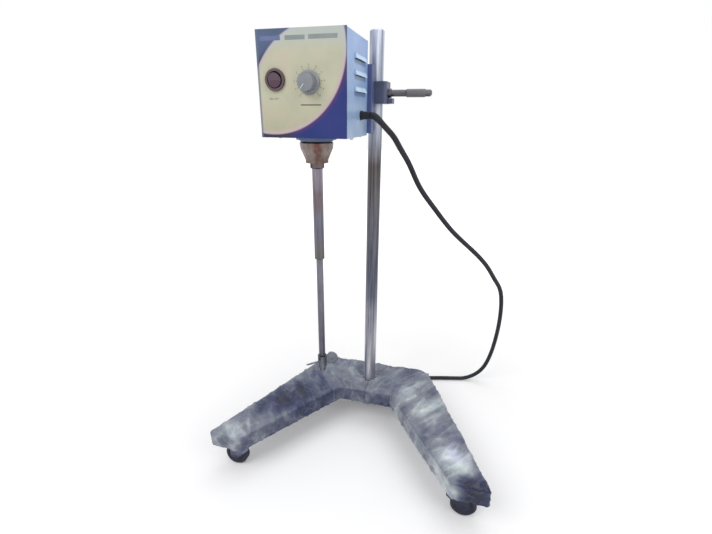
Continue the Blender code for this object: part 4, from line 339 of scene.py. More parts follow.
def paint(nodes, finish):
    """Give CAD nodes a finish."""
    for name in nodes:
        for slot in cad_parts[name].material_slots:
            slot.material = finish.material


def dress(piece, finish):
    """Give a new piece a finish."""
    piece.data.materials.append(finish.material)


# The panel's print: an arc is its centre's x and z and its radius, and a fade is where it starts and ends,
# along x or z, out from the arcs, or in from the box's left edge
UPPER_ARC = (-0.0354, 0.5311, 0.0867)
LOWER_ARC = (-0.0962, 0.5890, 0.0909)
CREAM_HIGH_FADE = (0.585, 0.606)
CREAM_LOW_FADE = (0.545, 0.500)
CORNER_FADE = (-0.085, -0.060)
BLUE_HIGH_FADE = (0.540, 0.585)
RIM_HIGH_FADE = (0.570, 0.600)
SIDE_FADE = (-0.002, 0.002)
RIM_FADE = (0.0002, 0.0065)
LILAC_FADE = (-0.0060, -0.0006)
ARC_FADE = (-0.0012, 0.0012)
FRAME_FADE = (0.0034, 0.0014)
PRINT_DEPTH = 0.00004


def beyond_arc(finish, x, z, centre_x, centre_z, radius):
    """How far a place on the panel lies outside an arc."""
    squares = []
    for value, centre in ((x, centre_x), (z, centre_z)):
        off = finish.math("SUBTRACT", value, centre)
        squares.append(finish.math("MULTIPLY", off, off))
    return finish.math("SUBTRACT", finish.math("SQRT", finish.math("ADD", *squares)), radius)


def panel_finish():
    """The printed front panel: a cream leaf between two arcs, blue outside it."""
    finish = Finish("panel_print", roughness=0.42, specular_ior_level=0.3)
    x, _, z = finish.axes()
    upper, lower = (beyond_arc(finish, x, z, *arc) for arc in (UPPER_ARC, LOWER_ARC))
    outside = finish.math("MAXIMUM", upper, lower)
    tones = [(0.30, srgb(180, 181, 158)), (0.55, srgb(189, 187, 164)), (0.75, srgb(193, 181, 166))]
    cream = finish.ramp(finish.noise(34, 4), tones)
    cream = finish.mix(finish.span(z, *CREAM_HIGH_FADE), cream, srgb(179, 186, 179))
    cream = finish.mix(finish.span(z, *CREAM_LOW_FADE), cream, finish.tint(cream, srgb(241, 238, 234)))
    corner = finish.span(x, *CORNER_FADE)
    right = finish.ramp(finish.noise(30, 3), [(0.35, srgb(26, 44, 110)), (0.65, srgb(42, 52, 116))])
    right = finish.mix(corner, srgb(48, 50, 68), right)
    right = finish.mix(finish.span(z, *BLUE_HIGH_FADE), right, srgb(62, 62, 100))
    left = finish.ramp(finish.noise(40, 3), [(0.3, srgb(67, 90, 114)), (0.7, srgb(84, 97, 130))])
    blue = finish.mix(finish.span(finish.math("SUBTRACT", upper, lower), *SIDE_FADE), right, left)
    high = finish.span(z, *RIM_HIGH_FADE)
    rim = finish.mix(corner, srgb(46, 44, 62), srgb(74, 48, 104))
    rim = finish.mix(high, rim, srgb(84, 90, 124))
    rim = finish.mix(finish.span(outside, *RIM_FADE), rim, blue)
    lilac = finish.mix(high, srgb(190, 172, 174), srgb(182, 184, 184))
    lilac = finish.mix(finish.span(outside, *LILAC_FADE), cream, lilac)
    colour = finish.mix(finish.span(outside, *ARC_FADE), lilac, rim)
    line = finish.span(finish.math("SUBTRACT", x, BOX_LEFT), *FRAME_FADE)
    colour = finish.mix(finish.math("MULTIPLY", line, 0.75), colour, srgb(98, 108, 132))
    finish.wear("Base Color", colour)
    finish.wear("Roughness", finish.span(finish.noise(70, 3), 0.2, 0.8, 0.36, 0.52))
    finish.bump((finish.noise(1100, 2), 0.2, PRINT_DEPTH))
    return finish


# Heights between which the rod's painted reflections and the tube's tones change, and the rod's haze starts
ROD_PAINTED_REFLECTION = (0.05, 0.65)
ROD_HAZE_FADE = (0.500, 0.560)
TUBE_TONE_HEIGHTS = (0.300, 0.462)


def rod_finish():
    """The chromed rod's painted reflections: pale at its foot, dark and streaky above, pale and bluish on
    top.
    """
    # painted reflections: the chrome's tones by height stand in for what it mirrors
    tones = [
        (0.03, srgb(204, 205, 212)),
        (0.12, srgb(166, 168, 177)),
        (0.24, srgb(110, 114, 128)),
        (0.42, srgb(94, 96, 106)),
        (0.74, srgb(96, 92, 92)),
        (0.84, srgb(172, 178, 192)),
        (0.95, srgb(206, 214, 229)),
    ]
    matt = [(0.0, 0.42), (0.2, 0.28), (0.74, 0.32), (0.84, 0.50)]
    finish = stained("chrome", tones, matt, *ROD_PAINTED_REFLECTION, srgb(186, 184, 188))
    finish.wear("Metallic", finish.span(finish.axes()[2], *ROD_HAZE_FADE, 1.0, 0.45))
    return finish


def tube_finish():
    """The drive tube: lilac at the top, brownish under it, bluish and then olive at its foot."""
    tones = [
        (0.02, srgb(98, 93, 90)),
        (0.16, srgb(100, 96, 97)),
        (0.34, srgb(98, 99, 112)),
        (0.58, srgb(112, 110, 121)),
        (0.70, srgb(114, 104, 109)),
        (0.88, srgb(114, 105, 110)),
        (0.98, srgb(138, 132, 142)),
    ]
    return stained("tube_steel", tones, [(0.0, 0.30), (1.0, 0.34)], *TUBE_TONE_HEIGHTS, srgb(214, 212, 216))


# The chuck's coppery streak and the height below which it is darker
STREAK_X = -0.0525
STREAK_WANDER = 0.010
STREAK_FADE = (0.014, 0.006)
CHUCK_LOW_FADE = (0.476, 0.464)


def chuck_finish():
    """Browned chuck steel with a coppery streak down its front, darker low down."""
    finish = metal("chuck_steel", srgb(151, 140, 136), srgb(100, 87, 85), 0.42, (1, 1, 0.3), 160)
    x, _, z = finish.axes()
    off = finish.moved(finish.distance(x, STREAK_X), finish.noise(60, 3), STREAK_WANDER, 0.0)
    patchy = finish.span(finish.noise(70, 3), 0.36, 0.60, 0.25, 0.9)
    # a coppery streak down the chuck's front
    copper_streak = finish.math("MULTIPLY", finish.span(off, *STREAK_FADE), patchy)
    base = finish.mix(copper_streak, finish.colour(), srgb(97, 62, 54))
    low = finish.tint(base, srgb(216, 214, 208))
    finish.wear("Base Color", finish.mix(finish.span(z, *CHUCK_LOW_FADE), base, low))
    return finish


# Where along x the handle's grip starts and ends
GRIP_START_FADE = (0.0425, 0.0435)
GRIP_END_FADE = (0.0697, 0.0687)


def handle_finish():
    """Dull plated handle with a dark rubber grip."""
    finish = metal("handle_steel", srgb(116, 115, 119), srgb(72, 71, 75), 0.42, (0.2, 2, 2), 140)
    grip = finish.within(finish.axes()[0], GRIP_START_FADE, GRIP_END_FADE)
    finish.wear("Base Color", finish.mix(grip, finish.colour(), srgb(98, 98, 101)))
    finish.wear("Metallic", finish.math("SUBTRACT", 1.0, grip))
    return finish


# The heights over which a castor gets paler, and how far they wander
CASTOR_FADE = (0.012, 0.036)
CASTOR_WANDER = 0.02
CASTOR_GRAIN_DEPTH = 0.00008


def castor_finish(name, top):
    """Castor paint, paler towards the film above it and dark low down."""
    finish = Finish(name, roughness=0.5, specular_ior_level=0.3)
    height = finish.moved(finish.axes()[2], finish.noise(70, 4), CASTOR_WANDER)
    low = finish.ramp(finish.noise(60, 4), [(0.3, srgb(20, 22, 42)), (0.7, srgb(30, 33, 60))])
    finish.wear("Base Color", finish.mix(finish.span(height, *CASTOR_FADE), low, top))
    finish.bump((finish.noise(700, 2), 0.3, CASTOR_GRAIN_DEPTH))
    return finish


# The louvres' levels, the fades of the painted shade under each (from its level, and along y), how far out
# from the box's side the painted highlight on its hood starts, and the heights over which the housing gets
# darker towards its foot
LOUVRE_LEVELS = (0.5472, 0.5655, 0.5832)
SHADE_FOOT_FADE = (-0.0066, -0.0034)
SHADE_HEAD_FADE = (0.0012, 0.0)
LOUVRE_FRONT_FADE = (-0.0290, -0.0240)
LOUVRE_REAR_FADE = (0.0330, 0.0280)
HOOD_FADE = (0.0003, 0.0016)
HOUSING_LOW_FADE = (0.500, 0.590)


def housing_finish():
    """Light blue sprayed sheet, with painted shade under the louvres and a painted highlight on their hoods.
    """
    finish = painted("blue_paint", srgb(160, 188, 232), srgb(138, 168, 214), 0.36)
    x, y, z = finish.axes()
    base = finish.colour()
    # darker towards the housing's foot
    base = finish.mix(finish.span(z, *HOUSING_LOW_FADE), finish.tint(base, srgb(244, 242, 232)), base)
    # painted shade under each louvre hood
    shade = 0.0
    for level in LOUVRE_LEVELS:
        fades = [[level + edge for edge in fade] for fade in (SHADE_FOOT_FADE, SHADE_HEAD_FADE)]
        shade = finish.math("ADD", shade, finish.within(z, *fades))
    shade = finish.math("MULTIPLY", shade, finish.within(y, LOUVRE_FRONT_FADE, LOUVRE_REAR_FADE))
    base = finish.mix(finish.math("MULTIPLY", shade, 0.75), base, srgb(84, 112, 148))
    # a painted highlight on the louvre hoods
    half_width = (BOX_RIGHT - BOX_LEFT) / 2
    outward = finish.distance(x, (BOX_LEFT + BOX_RIGHT) / 2)
    hood = finish.span(outward, *(half_width + edge for edge in HOOD_FADE))
    hood = finish.math("MULTIPLY", hood, finish.span(finish.noise(80, 2), 0.25, 0.55, 0.6, 1.0))
    finish.wear("Base Color", finish.mix(hood, base, srgb(206, 232, 252)))
    return finish


def castor_names(kind):
    """The four castors' nodes of one kind."""
    return [f"castor_{kind}_{label}" for label in ("front_left", "front_right", "rear_left", "rear_right")]


def paint_stand(zinc):
    """The casting, its castors, the rod with what holds it, and the plug."""
    rough = {"grain": 420, "depth": 0.0002}
    paint(["base_casting"], painted("casting_paint", srgb(88, 93, 120), srgb(62, 66, 94), 0.5, **rough))
    paint(castor_names("fork"), castor_finish("castor_paint", srgb(42, 46, 64)))
    paint(["castor_fork_front_left"], castor_finish("castor_paint_hazy", srgb(118, 124, 148)))
    paint(castor_names("wheel"), plastic("wheel_rubber", srgb(28, 29, 54), srgb(15, 17, 38), 0.6))
    paint(["stand_rod"], rod_finish())
    paint(["rod_nut", "rod_washer", *castor_names("seat")], zinc)
    paint(["mains_plug"], plastic("plug_black", srgb(44, 44, 52), srgb(28, 28, 36), 0.45))


def paint_head(zinc, aluminium, black, grey):
    """The housing, its panel and clamp, and the electric parts."""
    paint(["housing_shell", "back_plate", "floor_plate"], housing_finish())
    paint(["front_panel"], panel_finish())
    navy = painted("navy_paint", srgb(84, 90, 118), srgb(58, 64, 92), 0.42, chips=srgb(112, 116, 130))
    paint(["clamp_block"], navy)
    paint(["rear_bracket"], painted("bracket_paint", srgb(88, 101, 148), srgb(68, 81, 126), 0.42))
    paint(["clamp_handle"], handle_finish())
    paint(["switch_body"], plastic("bezel_plastic", srgb(92, 72, 80), srgb(72, 56, 64), 0.34))
    glossy = {"grain": 500, "depth": 0.00002, "coat_weight": 0.3}
    paint(["power_rocker"], plastic("maroon_plastic", srgb(75, 39, 64), srgb(53, 24, 43), 0.24, **glossy))
    paint(["speed_board"], plastic("board_green", srgb(58, 116, 74), srgb(38, 88, 54), 0.45))
    paint(["potentiometer_nut"], zinc)
    paint(["potentiometer_body", "potentiometer_shaft", "heat_sink"], aluminium)
    paint(["speed_knob", "terminal_block"], grey)
    paint(["cord_gland", "gland_nut"], black)


def paint_motor(zinc, aluminium, black, grey):
    """The motor's bells, bearings, iron, brushes and fan."""
    paint(["motor_lower_bell", "motor_upper_bell"], aluminium)
    paint(["lower_bearing", "upper_bearing"], zinc)
    iron = metal("laminations", srgb(110, 110, 118), srgb(66, 66, 74), 0.5, (0.3, 0.3, 6), 260)
    paint(["motor_stator", "rotor_core"], iron)
    paint(["commutator"], metal("copper", srgb(206, 140, 104), srgb(158, 96, 68), 0.35, (1, 1, 0.3), 160))
    paint(["brush_holder_left", "brush_holder_right"], black)
    paint(["cooling_fan"], grey)


def paint_spindle(zinc):
    """The spindle with its chuck and drive tube, and the stirrer in them."""
    paint(["spindle_shaft"], metal("spindle_steel", srgb(96, 92, 96), srgb(62, 58, 62), 0.4, (1, 1, 0.4)))
    paint(["chuck_body", "chuck_sleeve"], chuck_finish())
    jaws = metal("jaw_steel", srgb(112, 99, 102), srgb(84, 73, 76), 0.36, (1, 1, 0.3), 160)
    paint(["chuck_jaw_1", "chuck_jaw_2", "chuck_jaw_3"], jaws)
    paint(["drive_tube"], tube_finish())
    paint(["rod_grub_screw"], zinc)
    stirrer = metal("stirrer_steel", srgb(123, 122, 133), srgb(74, 73, 83), 0.28, (3, 3, 0.15), 90)
    paint(["stirring_rod"], stirrer)
    paint(["propeller"], metal("propeller_steel", srgb(126, 130, 138), srgb(62, 66, 76), 0.4, (1, 1, 1), 110))


# The lead's route, as in the part's source: its free stretch is (x, y, share of the fall to the floor)
CORD_RADIUS = 0.00375
CORD_EXIT = (0.0079, 0.0053, 0.5202)
CORD_FLOOR_Z = 0.0038
CORD_ROUTE = (
    (0.0110, 0.0053, 0.9998),
    (0.0190, 0.0062, 0.9899),
    (0.0281, 0.0093, 0.9711),
    (0.0370, 0.0133, 0.9520),
    (0.0458, 0.0203, 0.9223),
    (0.0548, 0.0283, 0.8914),
    (0.0694, 0.0483, 0.8244),
    (0.0926, 0.0753, 0.7494),
    (0.1231, 0.1043, 0.6667),
    (0.1669, 0.1353, 0.5769),
    (0.1862, 0.1483, 0.5300),
    (0.2014, 0.1613, 0.4804),
    (0.2104, 0.1683, 0.4510),
    (0.2190, 0.1800, 0.3896),
    (0.2225, 0.1930, 0.3025),
    (0.2215, 0.2060, 0.2057),
    (0.2150, 0.2150, 0.1088),
    (0.2000, 0.2190, 0.0372),
    (0.1760, 0.2160, 0.0043),
    (0.1400, 0.2075, 0.0000),
    (0.1000, 0.1970, 0.0000),
    (0.0720, 0.1890, 0.0000),
)
CORD_RAMP = (0.050, 0.022)
COIL_X = 0.0
COIL_Y = 0.1408
COIL_RADIUS = 0.0450
COIL_PITCH = 0.0084
COIL_LAYER = 0.0084
COIL_TURNS_IN = 1.5
COIL_LEAD = 0.0075
COIL_TAIL = (0.020, 0.040)
PLUG_Z = 0.0073

# How finely the lead is drawn
COIL_POINTS_PER_TURN = 40
TAIL_POINTS = 9
CURVE_POINTS = 128
CORD_STEP = 0.004
CORD_SIDES = 14

# The sleeve over the lead's start: every rib and the groove before it take so many of its points
RELIEF_LENGTH = 0.017
RELIEF_RADII = (0.0046, 0.0041)
RELIEF_POINTS = 35
RELIEF_SIDES = 20
RIB_POINTS = 6
GROOVE_POINTS = 2
GROOVE_DEPTH = 0.0003


def distances(path):
    """How far along a path each of its points lies."""
    return np.concatenate(([0], np.cumsum(np.linalg.norm(np.diff(path, axis=0), axis=1))))


def places_at(stops, path, along):
    """The places at given distances along a path."""
    return np.stack([np.interp(stops, along, path[:, axis]) for axis in range(3)], axis=1)


def smooth_route(points, start_heading, end_heading, step):
    """Evenly spaced points on a smooth curve through the given ones, none below the floor's level."""
    knots = np.array(points, dtype=float)
    legs = np.diff(knots, axis=0)
    spans = np.linalg.norm(legs, axis=1)
    headings = legs / spans[:, None]
    count = len(knots)
    matrix = np.zeros((count, count))
    right = np.zeros((count, 3))
    matrix[0, 0] = matrix[-1, -1] = 1
    right[0], right[-1] = start_heading, end_heading
    for row in range(1, count - 1):
        before, after = spans[row - 1], spans[row]
        matrix[row, row - 1 : row + 2] = after, 2 * (before + after), before
        right[row] = 3 * (after * headings[row - 1] + before * headings[row])
    slopes = np.linalg.solve(matrix, right)
    fine = []
    for index, span in enumerate(spans):
        t = np.linspace(0, 1, CURVE_POINTS, endpoint=index == count - 2)[:, None]
        fine.append(
            (2 * t**3 - 3 * t**2 + 1) * knots[index]
            + (t**3 - 2 * t**2 + t) * span * slopes[index]
            + (3 * t**2 - 2 * t**3) * knots[index + 1]
            + (t**3 - t**2) * span * slopes[index + 1]
        )
    fine = np.vstack(fine)
    along = distances(fine)
    fine[:, 2] = np.maximum(fine[:, 2], CORD_FLOOR_Z)
    return places_at(np.linspace(0, along[-1], round(along[-1] / step) + 1), fine, along)


def lead_route():
    """The lead's free stretch, from the gland to the coil."""
    fall = CORD_EXIT[2] - CORD_FLOOR_Z
    free = [(x, y, CORD_FLOOR_Z + fall * share) for x, y, share in CORD_ROUTE]
    side, top = COIL_Y + COIL_RADIUS, CORD_FLOOR_Z + COIL_LAYER
    foot, head = CORD_RAMP
    ramp = ((COIL_X + foot, side, CORD_FLOOR_Z), (COIL_X + head, side, top), (COIL_X + COIL_LEAD, side, top))
    return smooth_route((CORD_EXIT, *free, *ramp), (1, 0, 0), (-1, 0, 0), CORD_STEP)


def coil_points():
    """The loops behind the stand and the tail up to the plug, as in the part's source."""
    points = []
    for index in range(round(2 * COIL_TURNS_IN * COIL_POINTS_PER_TURN) + 1):
        turns = index / COIL_POINTS_PER_TURN
        radius = COIL_RADIUS - COIL_PITCH * min(turns, 2 * COIL_TURNS_IN - turns)
        drop = smooth_step((turns - COIL_TURNS_IN) * 2 + 1 / 2)
        angle = math.tau * (turns + 1 / 4)
        place = (COIL_X + radius * math.cos(angle), COIL_Y + radius * math.sin(angle))
        points.append((*place, CORD_FLOOR_Z + COIL_LAYER * (1 - drop)))
    flat, far = COIL_TAIL
    for share in np.linspace(0, 1, TAIL_POINTS):
        height = CORD_FLOOR_Z + (PLUG_Z - CORD_FLOOR_Z) * smooth_step(share)
        points.append((COIL_X - flat - (far - CORD_RADIUS - flat) * share, COIL_Y + COIL_RADIUS, height))
    points.append((COIL_X - far, COIL_Y + COIL_RADIUS, PLUG_Z))
    return np.array(points)


def add_relief(route, finish):
    """The ribbed, tapered sleeve that carries on from the gland over the lead's start."""
    stops = np.linspace(0, RELIEF_LENGTH, RELIEF_POINTS)
    grooves = np.arange(RELIEF_POINTS) % RIB_POINTS < GROOVE_POINTS
    radii = np.interp(stops, (0, RELIEF_LENGTH), RELIEF_RADII) - GROOVE_DEPTH * grooves
    line = places_at(stops, route, distances(route))
    dress(add_mesh("cord_relief", tube(line, radii, RELIEF_SIDES), "head"), finish)


def add_cord(route):
    """The whole mains lead from the gland to the plug."""
    path = np.vstack([route, coil_points()])
    cord = add_mesh("mains_lead", tube(path, CORD_RADIUS, CORD_SIDES))
    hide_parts("mains_cord", "cord_coil")
    dull = {"grain": 700, "depth": 0.00004, "specular_ior_level": 0.25}
    dress(cord, plastic("cord_black", srgb(40, 40, 50), srgb(26, 26, 34), 0.46, **dull))
    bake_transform(cord)


# The wrapped base's outline: its arms' tips, the crotch between them and the bridge's rear
TIP_OUTER, TIP_INNER = 0.2057, 0.1545
CROTCH_X, CROTCH_Y = 0.0456, 0.0378
REAR_X = 0.1021
BASE_OUTLINE = (
    (-TIP_OUTER, -BASE_REAR),
    (-TIP_INNER, -BASE_REAR),
    (-CROTCH_X, CROTCH_Y),
    (CROTCH_X, CROTCH_Y),
    (TIP_INNER, -BASE_REAR),
    (TIP_OUTER, -BASE_REAR),
    (REAR_X, BASE_REAR),
    (-REAR_X, BASE_REAR),
)

# The film's slab: its voxels, the rounding of its rim and corners, and its hole round the rod
FILM_VOXEL = 0.0017
FILM_RIM = 0.003
FILM_CORNER = 0.002
FILM_ROUND_STEPS = 3
FILM_HOLE = 0.0107

# The wraps run slanted round an arm: the right arm's start and heading, mirrored on the left, the slant,
# and the shift that makes the two arms' creases differ
ARM_START = Vector((0.0739, 0.0785))
ARM_HEADING = Vector((0.473, -0.881))
WRAP_SLANT = 0.45
SIDE_SHIFT = 0.3

# How far laps, folds and swells stand off, how the folds are drawn (their share across an arm, scale and
# seed), how much each counts as a crease, and the depths of the finer creases that the material draws
LAP_PITCH = 0.031
LAP_HEIGHT = 0.0002
LONG_FOLD_HEIGHT = 0.0014
LONG_FOLDS = (0.30, 60, 4.0)
LONG_FOLD_SHARE = 0.5
SHORT_FOLD_HEIGHT = 0.0007
SHORT_FOLDS = (0.55, 120, 9.0)
SHORT_FOLD_SHARE = 0.2
FOLD_SHARPNESS = 3.2
SWELL_HEIGHT = 0.0007
SWELL_SCALE = 34
WIDE_CREASE_DEPTH = 0.0014
NARROW_CREASE_DEPTH = 0.0006
CRINKLE_DEPTH = 0.0003

# The pleated collar round the rod, and the soft, wavy roll along the bridge's rear edge
COLLAR_HEIGHT = 0.0045
COLLAR_REACH = 0.006
COLLAR_SHARE = 0.5
COLLAR_PLEATS, PLEAT_TURN = 8, 1.0
PLEAT_MEAN, PLEAT_SWING = 0.65, 0.35
ROLL_HEIGHT = 0.0042
ROLL_OUT = 0.0015
ROLL_WIDTH = 0.010
ROLL_FOOT_Z, ROLL_RISE = 0.058, 0.010
ROLL_END_X, ROLL_TAPER = 0.104, 0.020
ROLL_WAVES = 45
WAVE_MEAN, WAVE_SWING = 0.85, 0.5

# The film's tone, from 0 for navy to 1 for white: clouds are (change, scale) and patches (place, size,
# change); the walls carry painted shade in the middle and on the left arm, and painted light on the right arm
# and the arms' tips; folds are milkier
FILM_TONE = 0.42
FILM_CLOUDS = ((0.10, 40), (0.06, 95))
FILM_PATCHES = (
    ((-0.184, -0.100), 0.026, 0.15),
    ((-0.160, -0.066), 0.012, -0.14),
    ((-0.149, -0.050), 0.014, -0.20),
    ((-0.143, -0.101), 0.015, 0.14),
    ((-0.160, -0.112), 0.012, 0.06),
    ((-0.130, -0.024), 0.026, -0.36),
    ((-0.102, 0.010), 0.028, -0.26),
    ((-0.070, 0.024), 0.026, -0.12),
    ((-0.050, 0.070), 0.026, 0.03),
    ((0.030, 0.070), 0.026, 0.02),
    ((0.086, 0.030), 0.030, 0.27),
    ((0.112, -0.008), 0.020, 0.12),
    ((0.138, -0.034), 0.020, 0.12),
    ((0.161, -0.080), 0.024, 0.42),
    ((0.180, -0.119), 0.015, -0.60),
    ((0.168, -0.108), 0.009, -0.12),
    ((0.202, -0.117), 0.014, -0.20),
)
WALL_STEEPNESS = 1.6
MIDDLE_WALL_X, MIDDLE_WALL_PAINTED_SHADE = 0.045, -0.10
ARM_WALL_PAINTED_LIGHT_AND_SHADE = {"left": -0.09, "right": 0.11}
TIP_WALL_X, TIP_WALL_FACING, TIP_WALL_FADE = 0.15, 0.7, 0.2
TIP_WALL_PAINTED_LIGHT = {"left": 0.10, "right": 0.04}
FOLD_TONE = 0.20


def film_finish():
    """Stretch film: long creases round the arms with painted highlights, milky on its folds, navy where it
    lies tight.
    """
    finish = Finish(
        "packing_film", roughness=0.25, specular_ior_level=0.35, coat_weight=0.2, coat_roughness=0.10
    )
    wrap = finish.add("ShaderNodeAttribute", attribute_name="wrap").outputs["Vector"]
    wide = finish.noise(34, 2.6, 0.45, (1, 0.55, 0.7), place=wrap)
    narrow = finish.noise(80, 1.5, 0.4, (1, 0.40, 0.5), place=wrap)

    def lines(value, sharpness):
        near = finish.math("SUBTRACT", 1.0, finish.math("MULTIPLY", finish.distance(value, 0.5), 2.0))
        return finish.math("POWER", near, sharpness)

    wide_lines, narrow_lines = lines(wide, 14.0), lines(narrow, 22.0)
    # the crease lines lighten the tone: painted highlights along the creases
    layers = ((wide, 0.66, 0.5), (narrow, 0.14, 0.5), (wide_lines, 0.08, 0.0), (narrow_lines, 0.05, 0.0))
    tone = finish.add("ShaderNodeAttribute", attribute_name="milk").outputs["Fac"]
    for layer, weight, centre in layers:
        tone = finish.moved(tone, layer, weight, centre)
    tones = [
        (0.05, srgb(14, 22, 54)),
        (0.25, srgb(38, 47, 84)),
        (0.42, srgb(84, 90, 112)),
        (0.58, srgb(122, 127, 140)),
        (0.76, srgb(170, 178, 184)),
        (0.95, srgb(214, 222, 224)),
    ]
    colour = finish.ramp(tone, tones)
    green = finish.span(finish.noise(17, 2), 0.50, 0.70, 0.0, 0.4)
    colour = finish.mix(green, colour, finish.tint(colour, srgb(222, 255, 242)))
    violet = finish.span(finish.noise(15, 2, shift=(3, 1, 2)), 0.52, 0.72, 0.0, 0.8)
    colour = finish.mix(violet, colour, finish.tint(colour, srgb(226, 216, 255)))
    finish.wear("Base Color", colour)
    finish.wear("Roughness", finish.span(finish.noise(85, 4), 0.3, 0.7, 0.14, 0.36))
    creases = ((wide_lines, 0.75, WIDE_CREASE_DEPTH), (narrow_lines, 0.5, NARROW_CREASE_DEPTH))
    finish.bump(*creases, (finish.noise(300, 4, 0.7), 0.4, CRINKLE_DEPTH))
    return finish


def ridges(wrap, across, up, across_share, scale, seed):
    """Thin ridges of a noise, from 0 to 1, drawn out across an arm."""
    place = Vector((wrap, across * across_share, up)) * scale + Vector((seed, seed, seed))
    return max(0.0, 1 - abs(noise.noise(place)) * FOLD_SHARPNESS) ** 2


def film_places(p):
    """A place in the wraps' own coordinates: along an arm, across it, up, and along a slanted wrap."""
    flat = Vector((abs(p.x), p.y)) - ARM_START
    along = flat.dot(ARM_HEADING)
    across = flat.y * ARM_HEADING.x - flat.x * ARM_HEADING.y
    up = p.z + (SIDE_SHIFT if p.x > 0 else -SIDE_SHIFT)
    return along, across, up, along + WRAP_SLANT * across


def film_relief(p):
    """How far the film stands off at a place, and how creased it is there."""
    along, across, up, wrap = film_places(p)
    lap = (wrap / LAP_PITCH) % 1.0
    long_folds = ridges(wrap, across, up, *LONG_FOLDS)
    short_folds = ridges(wrap, across, up, *SHORT_FOLDS)
    height = LAP_HEIGHT * lap + LONG_FOLD_HEIGHT * long_folds + SHORT_FOLD_HEIGHT * short_folds
    height += SWELL_HEIGHT * noise.noise(Vector((along, across, up)) * SWELL_SCALE)
    return height, LONG_FOLD_SHARE * long_folds + SHORT_FOLD_SHARE * short_folds


def collar(p, normal):
    """How much of the gathered collar round the rod there is at a place."""
    radial = p.xy - ROD
    near_rod = math.exp(-max(0.0, radial.length - FILM_HOLE) / COLLAR_REACH) if normal.z > 0.5 else 0.0
    turn = COLLAR_PLEATS * math.atan2(radial.y, radial.x) + PLEAT_TURN
    return near_rod * (PLEAT_MEAN + PLEAT_SWING * math.cos(turn))


def rear_roll(p):
    """How the soft roll of film along the bridge's rear edge moves a place."""
    share = math.exp(-(((BASE_REAR - p.y) / ROLL_WIDTH) ** 2)) * smooth_step((p.z - ROLL_FOOT_Z) / ROLL_RISE)
    waves = WAVE_MEAN + WAVE_SWING * noise.noise(Vector((p.x, 0, 0)) * ROLL_WAVES)
    share *= smooth_step((ROLL_END_X - abs(p.x)) / ROLL_TAPER) * waves
    return Vector((0, ROLL_OUT * share, ROLL_HEIGHT * share))


def film_milk(p, normal, folded):
    """How milky the film looks at a place, with painted light and shade on its walls: 0 is navy, 1 is white.
    """
    tone = FILM_TONE + sum(change * noise.noise(p * scale) for change, scale in FILM_CLOUDS)
    for centre, size, change in FILM_PATCHES:
        off = (p.x - centre[0]) ** 2 + (p.y - centre[1]) ** 2
        tone += change * math.exp(-off / size**2)
    # painted shade and painted light on the film's walls, by which way they face
    wall = 1 - held(normal.z * WALL_STEEPNESS)
    side = "left" if p.x < 0 else "right"
    tone += wall * (MIDDLE_WALL_PAINTED_SHADE if abs(p.x) < MIDDLE_WALL_X else ARM_WALL_PAINTED_LIGHT_AND_SHADE[side])
    if abs(p.x) > TIP_WALL_X:
        tone += wall * held((-normal.y - TIP_WALL_FACING) / TIP_WALL_FADE) * TIP_WALL_PAINTED_LIGHT[side]
    return tone + FOLD_TONE * folded


def film_slab():
    """The film's plain form as a mesh: the base's outline with a rounded rim, remeshed finely."""
    bm = bmesh.new()
    outline = rounded(BASE_OUTLINE, FILM_CORNER, FILM_ROUND_STEPS)
    lower, upper = ([bm.verts.new((x, y, z)) for x, y in outline] for z in (BASE_BOTTOM, BASE_TOP))
    bm.faces.new(lower[::-1])
    bm.faces.new(upper)
    bridge(bm, lower, upper)
    rim = [e for e in bm.edges if e.verts[0] in upper and e.verts[1] in upper]
    bmesh.ops.bevel(bm, geom=rim, offset=FILM_RIM, segments=FILM_ROUND_STEPS, profile=0.5, affect="EDGES")
    film = add_mesh("packing_film", bm)
    remesh = film.modifiers.new("even", "REMESH")
    remesh.mode = "VOXEL"
    remesh.voxel_size = FILM_VOXEL
    mesh = final_mesh(film)
    film.modifiers.clear()
    film.data = mesh
    return film


def add_film():
    """The packing film round the casting: open below, round the rod, and creased."""
    film = film_slab()
    bm = bmesh.new()
    bm.from_mesh(film.data)
    gone = []
    for face in bm.faces:
        centre = face.calc_center_median()
        if centre.z < BASE_BOTTOM + FILM_VOXEL / 2 or (centre.xy - ROD).length < FILM_HOLE:
            gone.append(face)
    bmesh.ops.delete(bm, geom=gone, context="FACES")
    bm.normal_update()
    milk = bm.verts.layers.float.new("milk")
    wrap = bm.verts.layers.float_vector.new("wrap")
    moves = []
    for vert in bm.verts:
        height, folded = film_relief(vert.co)
        _, across, up, along_wrap = film_places(vert.co)
        vert[wrap] = (along_wrap, across, up)
        gathered = collar(vert.co, vert.normal)
        lift = Vector((0, 0, COLLAR_HEIGHT * gathered)) + rear_roll(vert.co)
        moves.append(vert.normal * height + lift)
        vert[milk] = film_milk(vert.co, vert.normal, folded + COLLAR_SHARE * gathered)
    for vert, move in zip(bm.verts, moves):
        vert.co += move
    for face in bm.faces:
        face.smooth = True
    bm.to_mesh(film.data)
    bm.free()
    area = sum(face.area for face in film.data.polygons)
    print(f"film: {len(film.data.polygons)} faces, {area:.4f} square metres")
    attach(film, "stand")
    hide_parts("base_film_wrap")
    dress(film, film_finish())


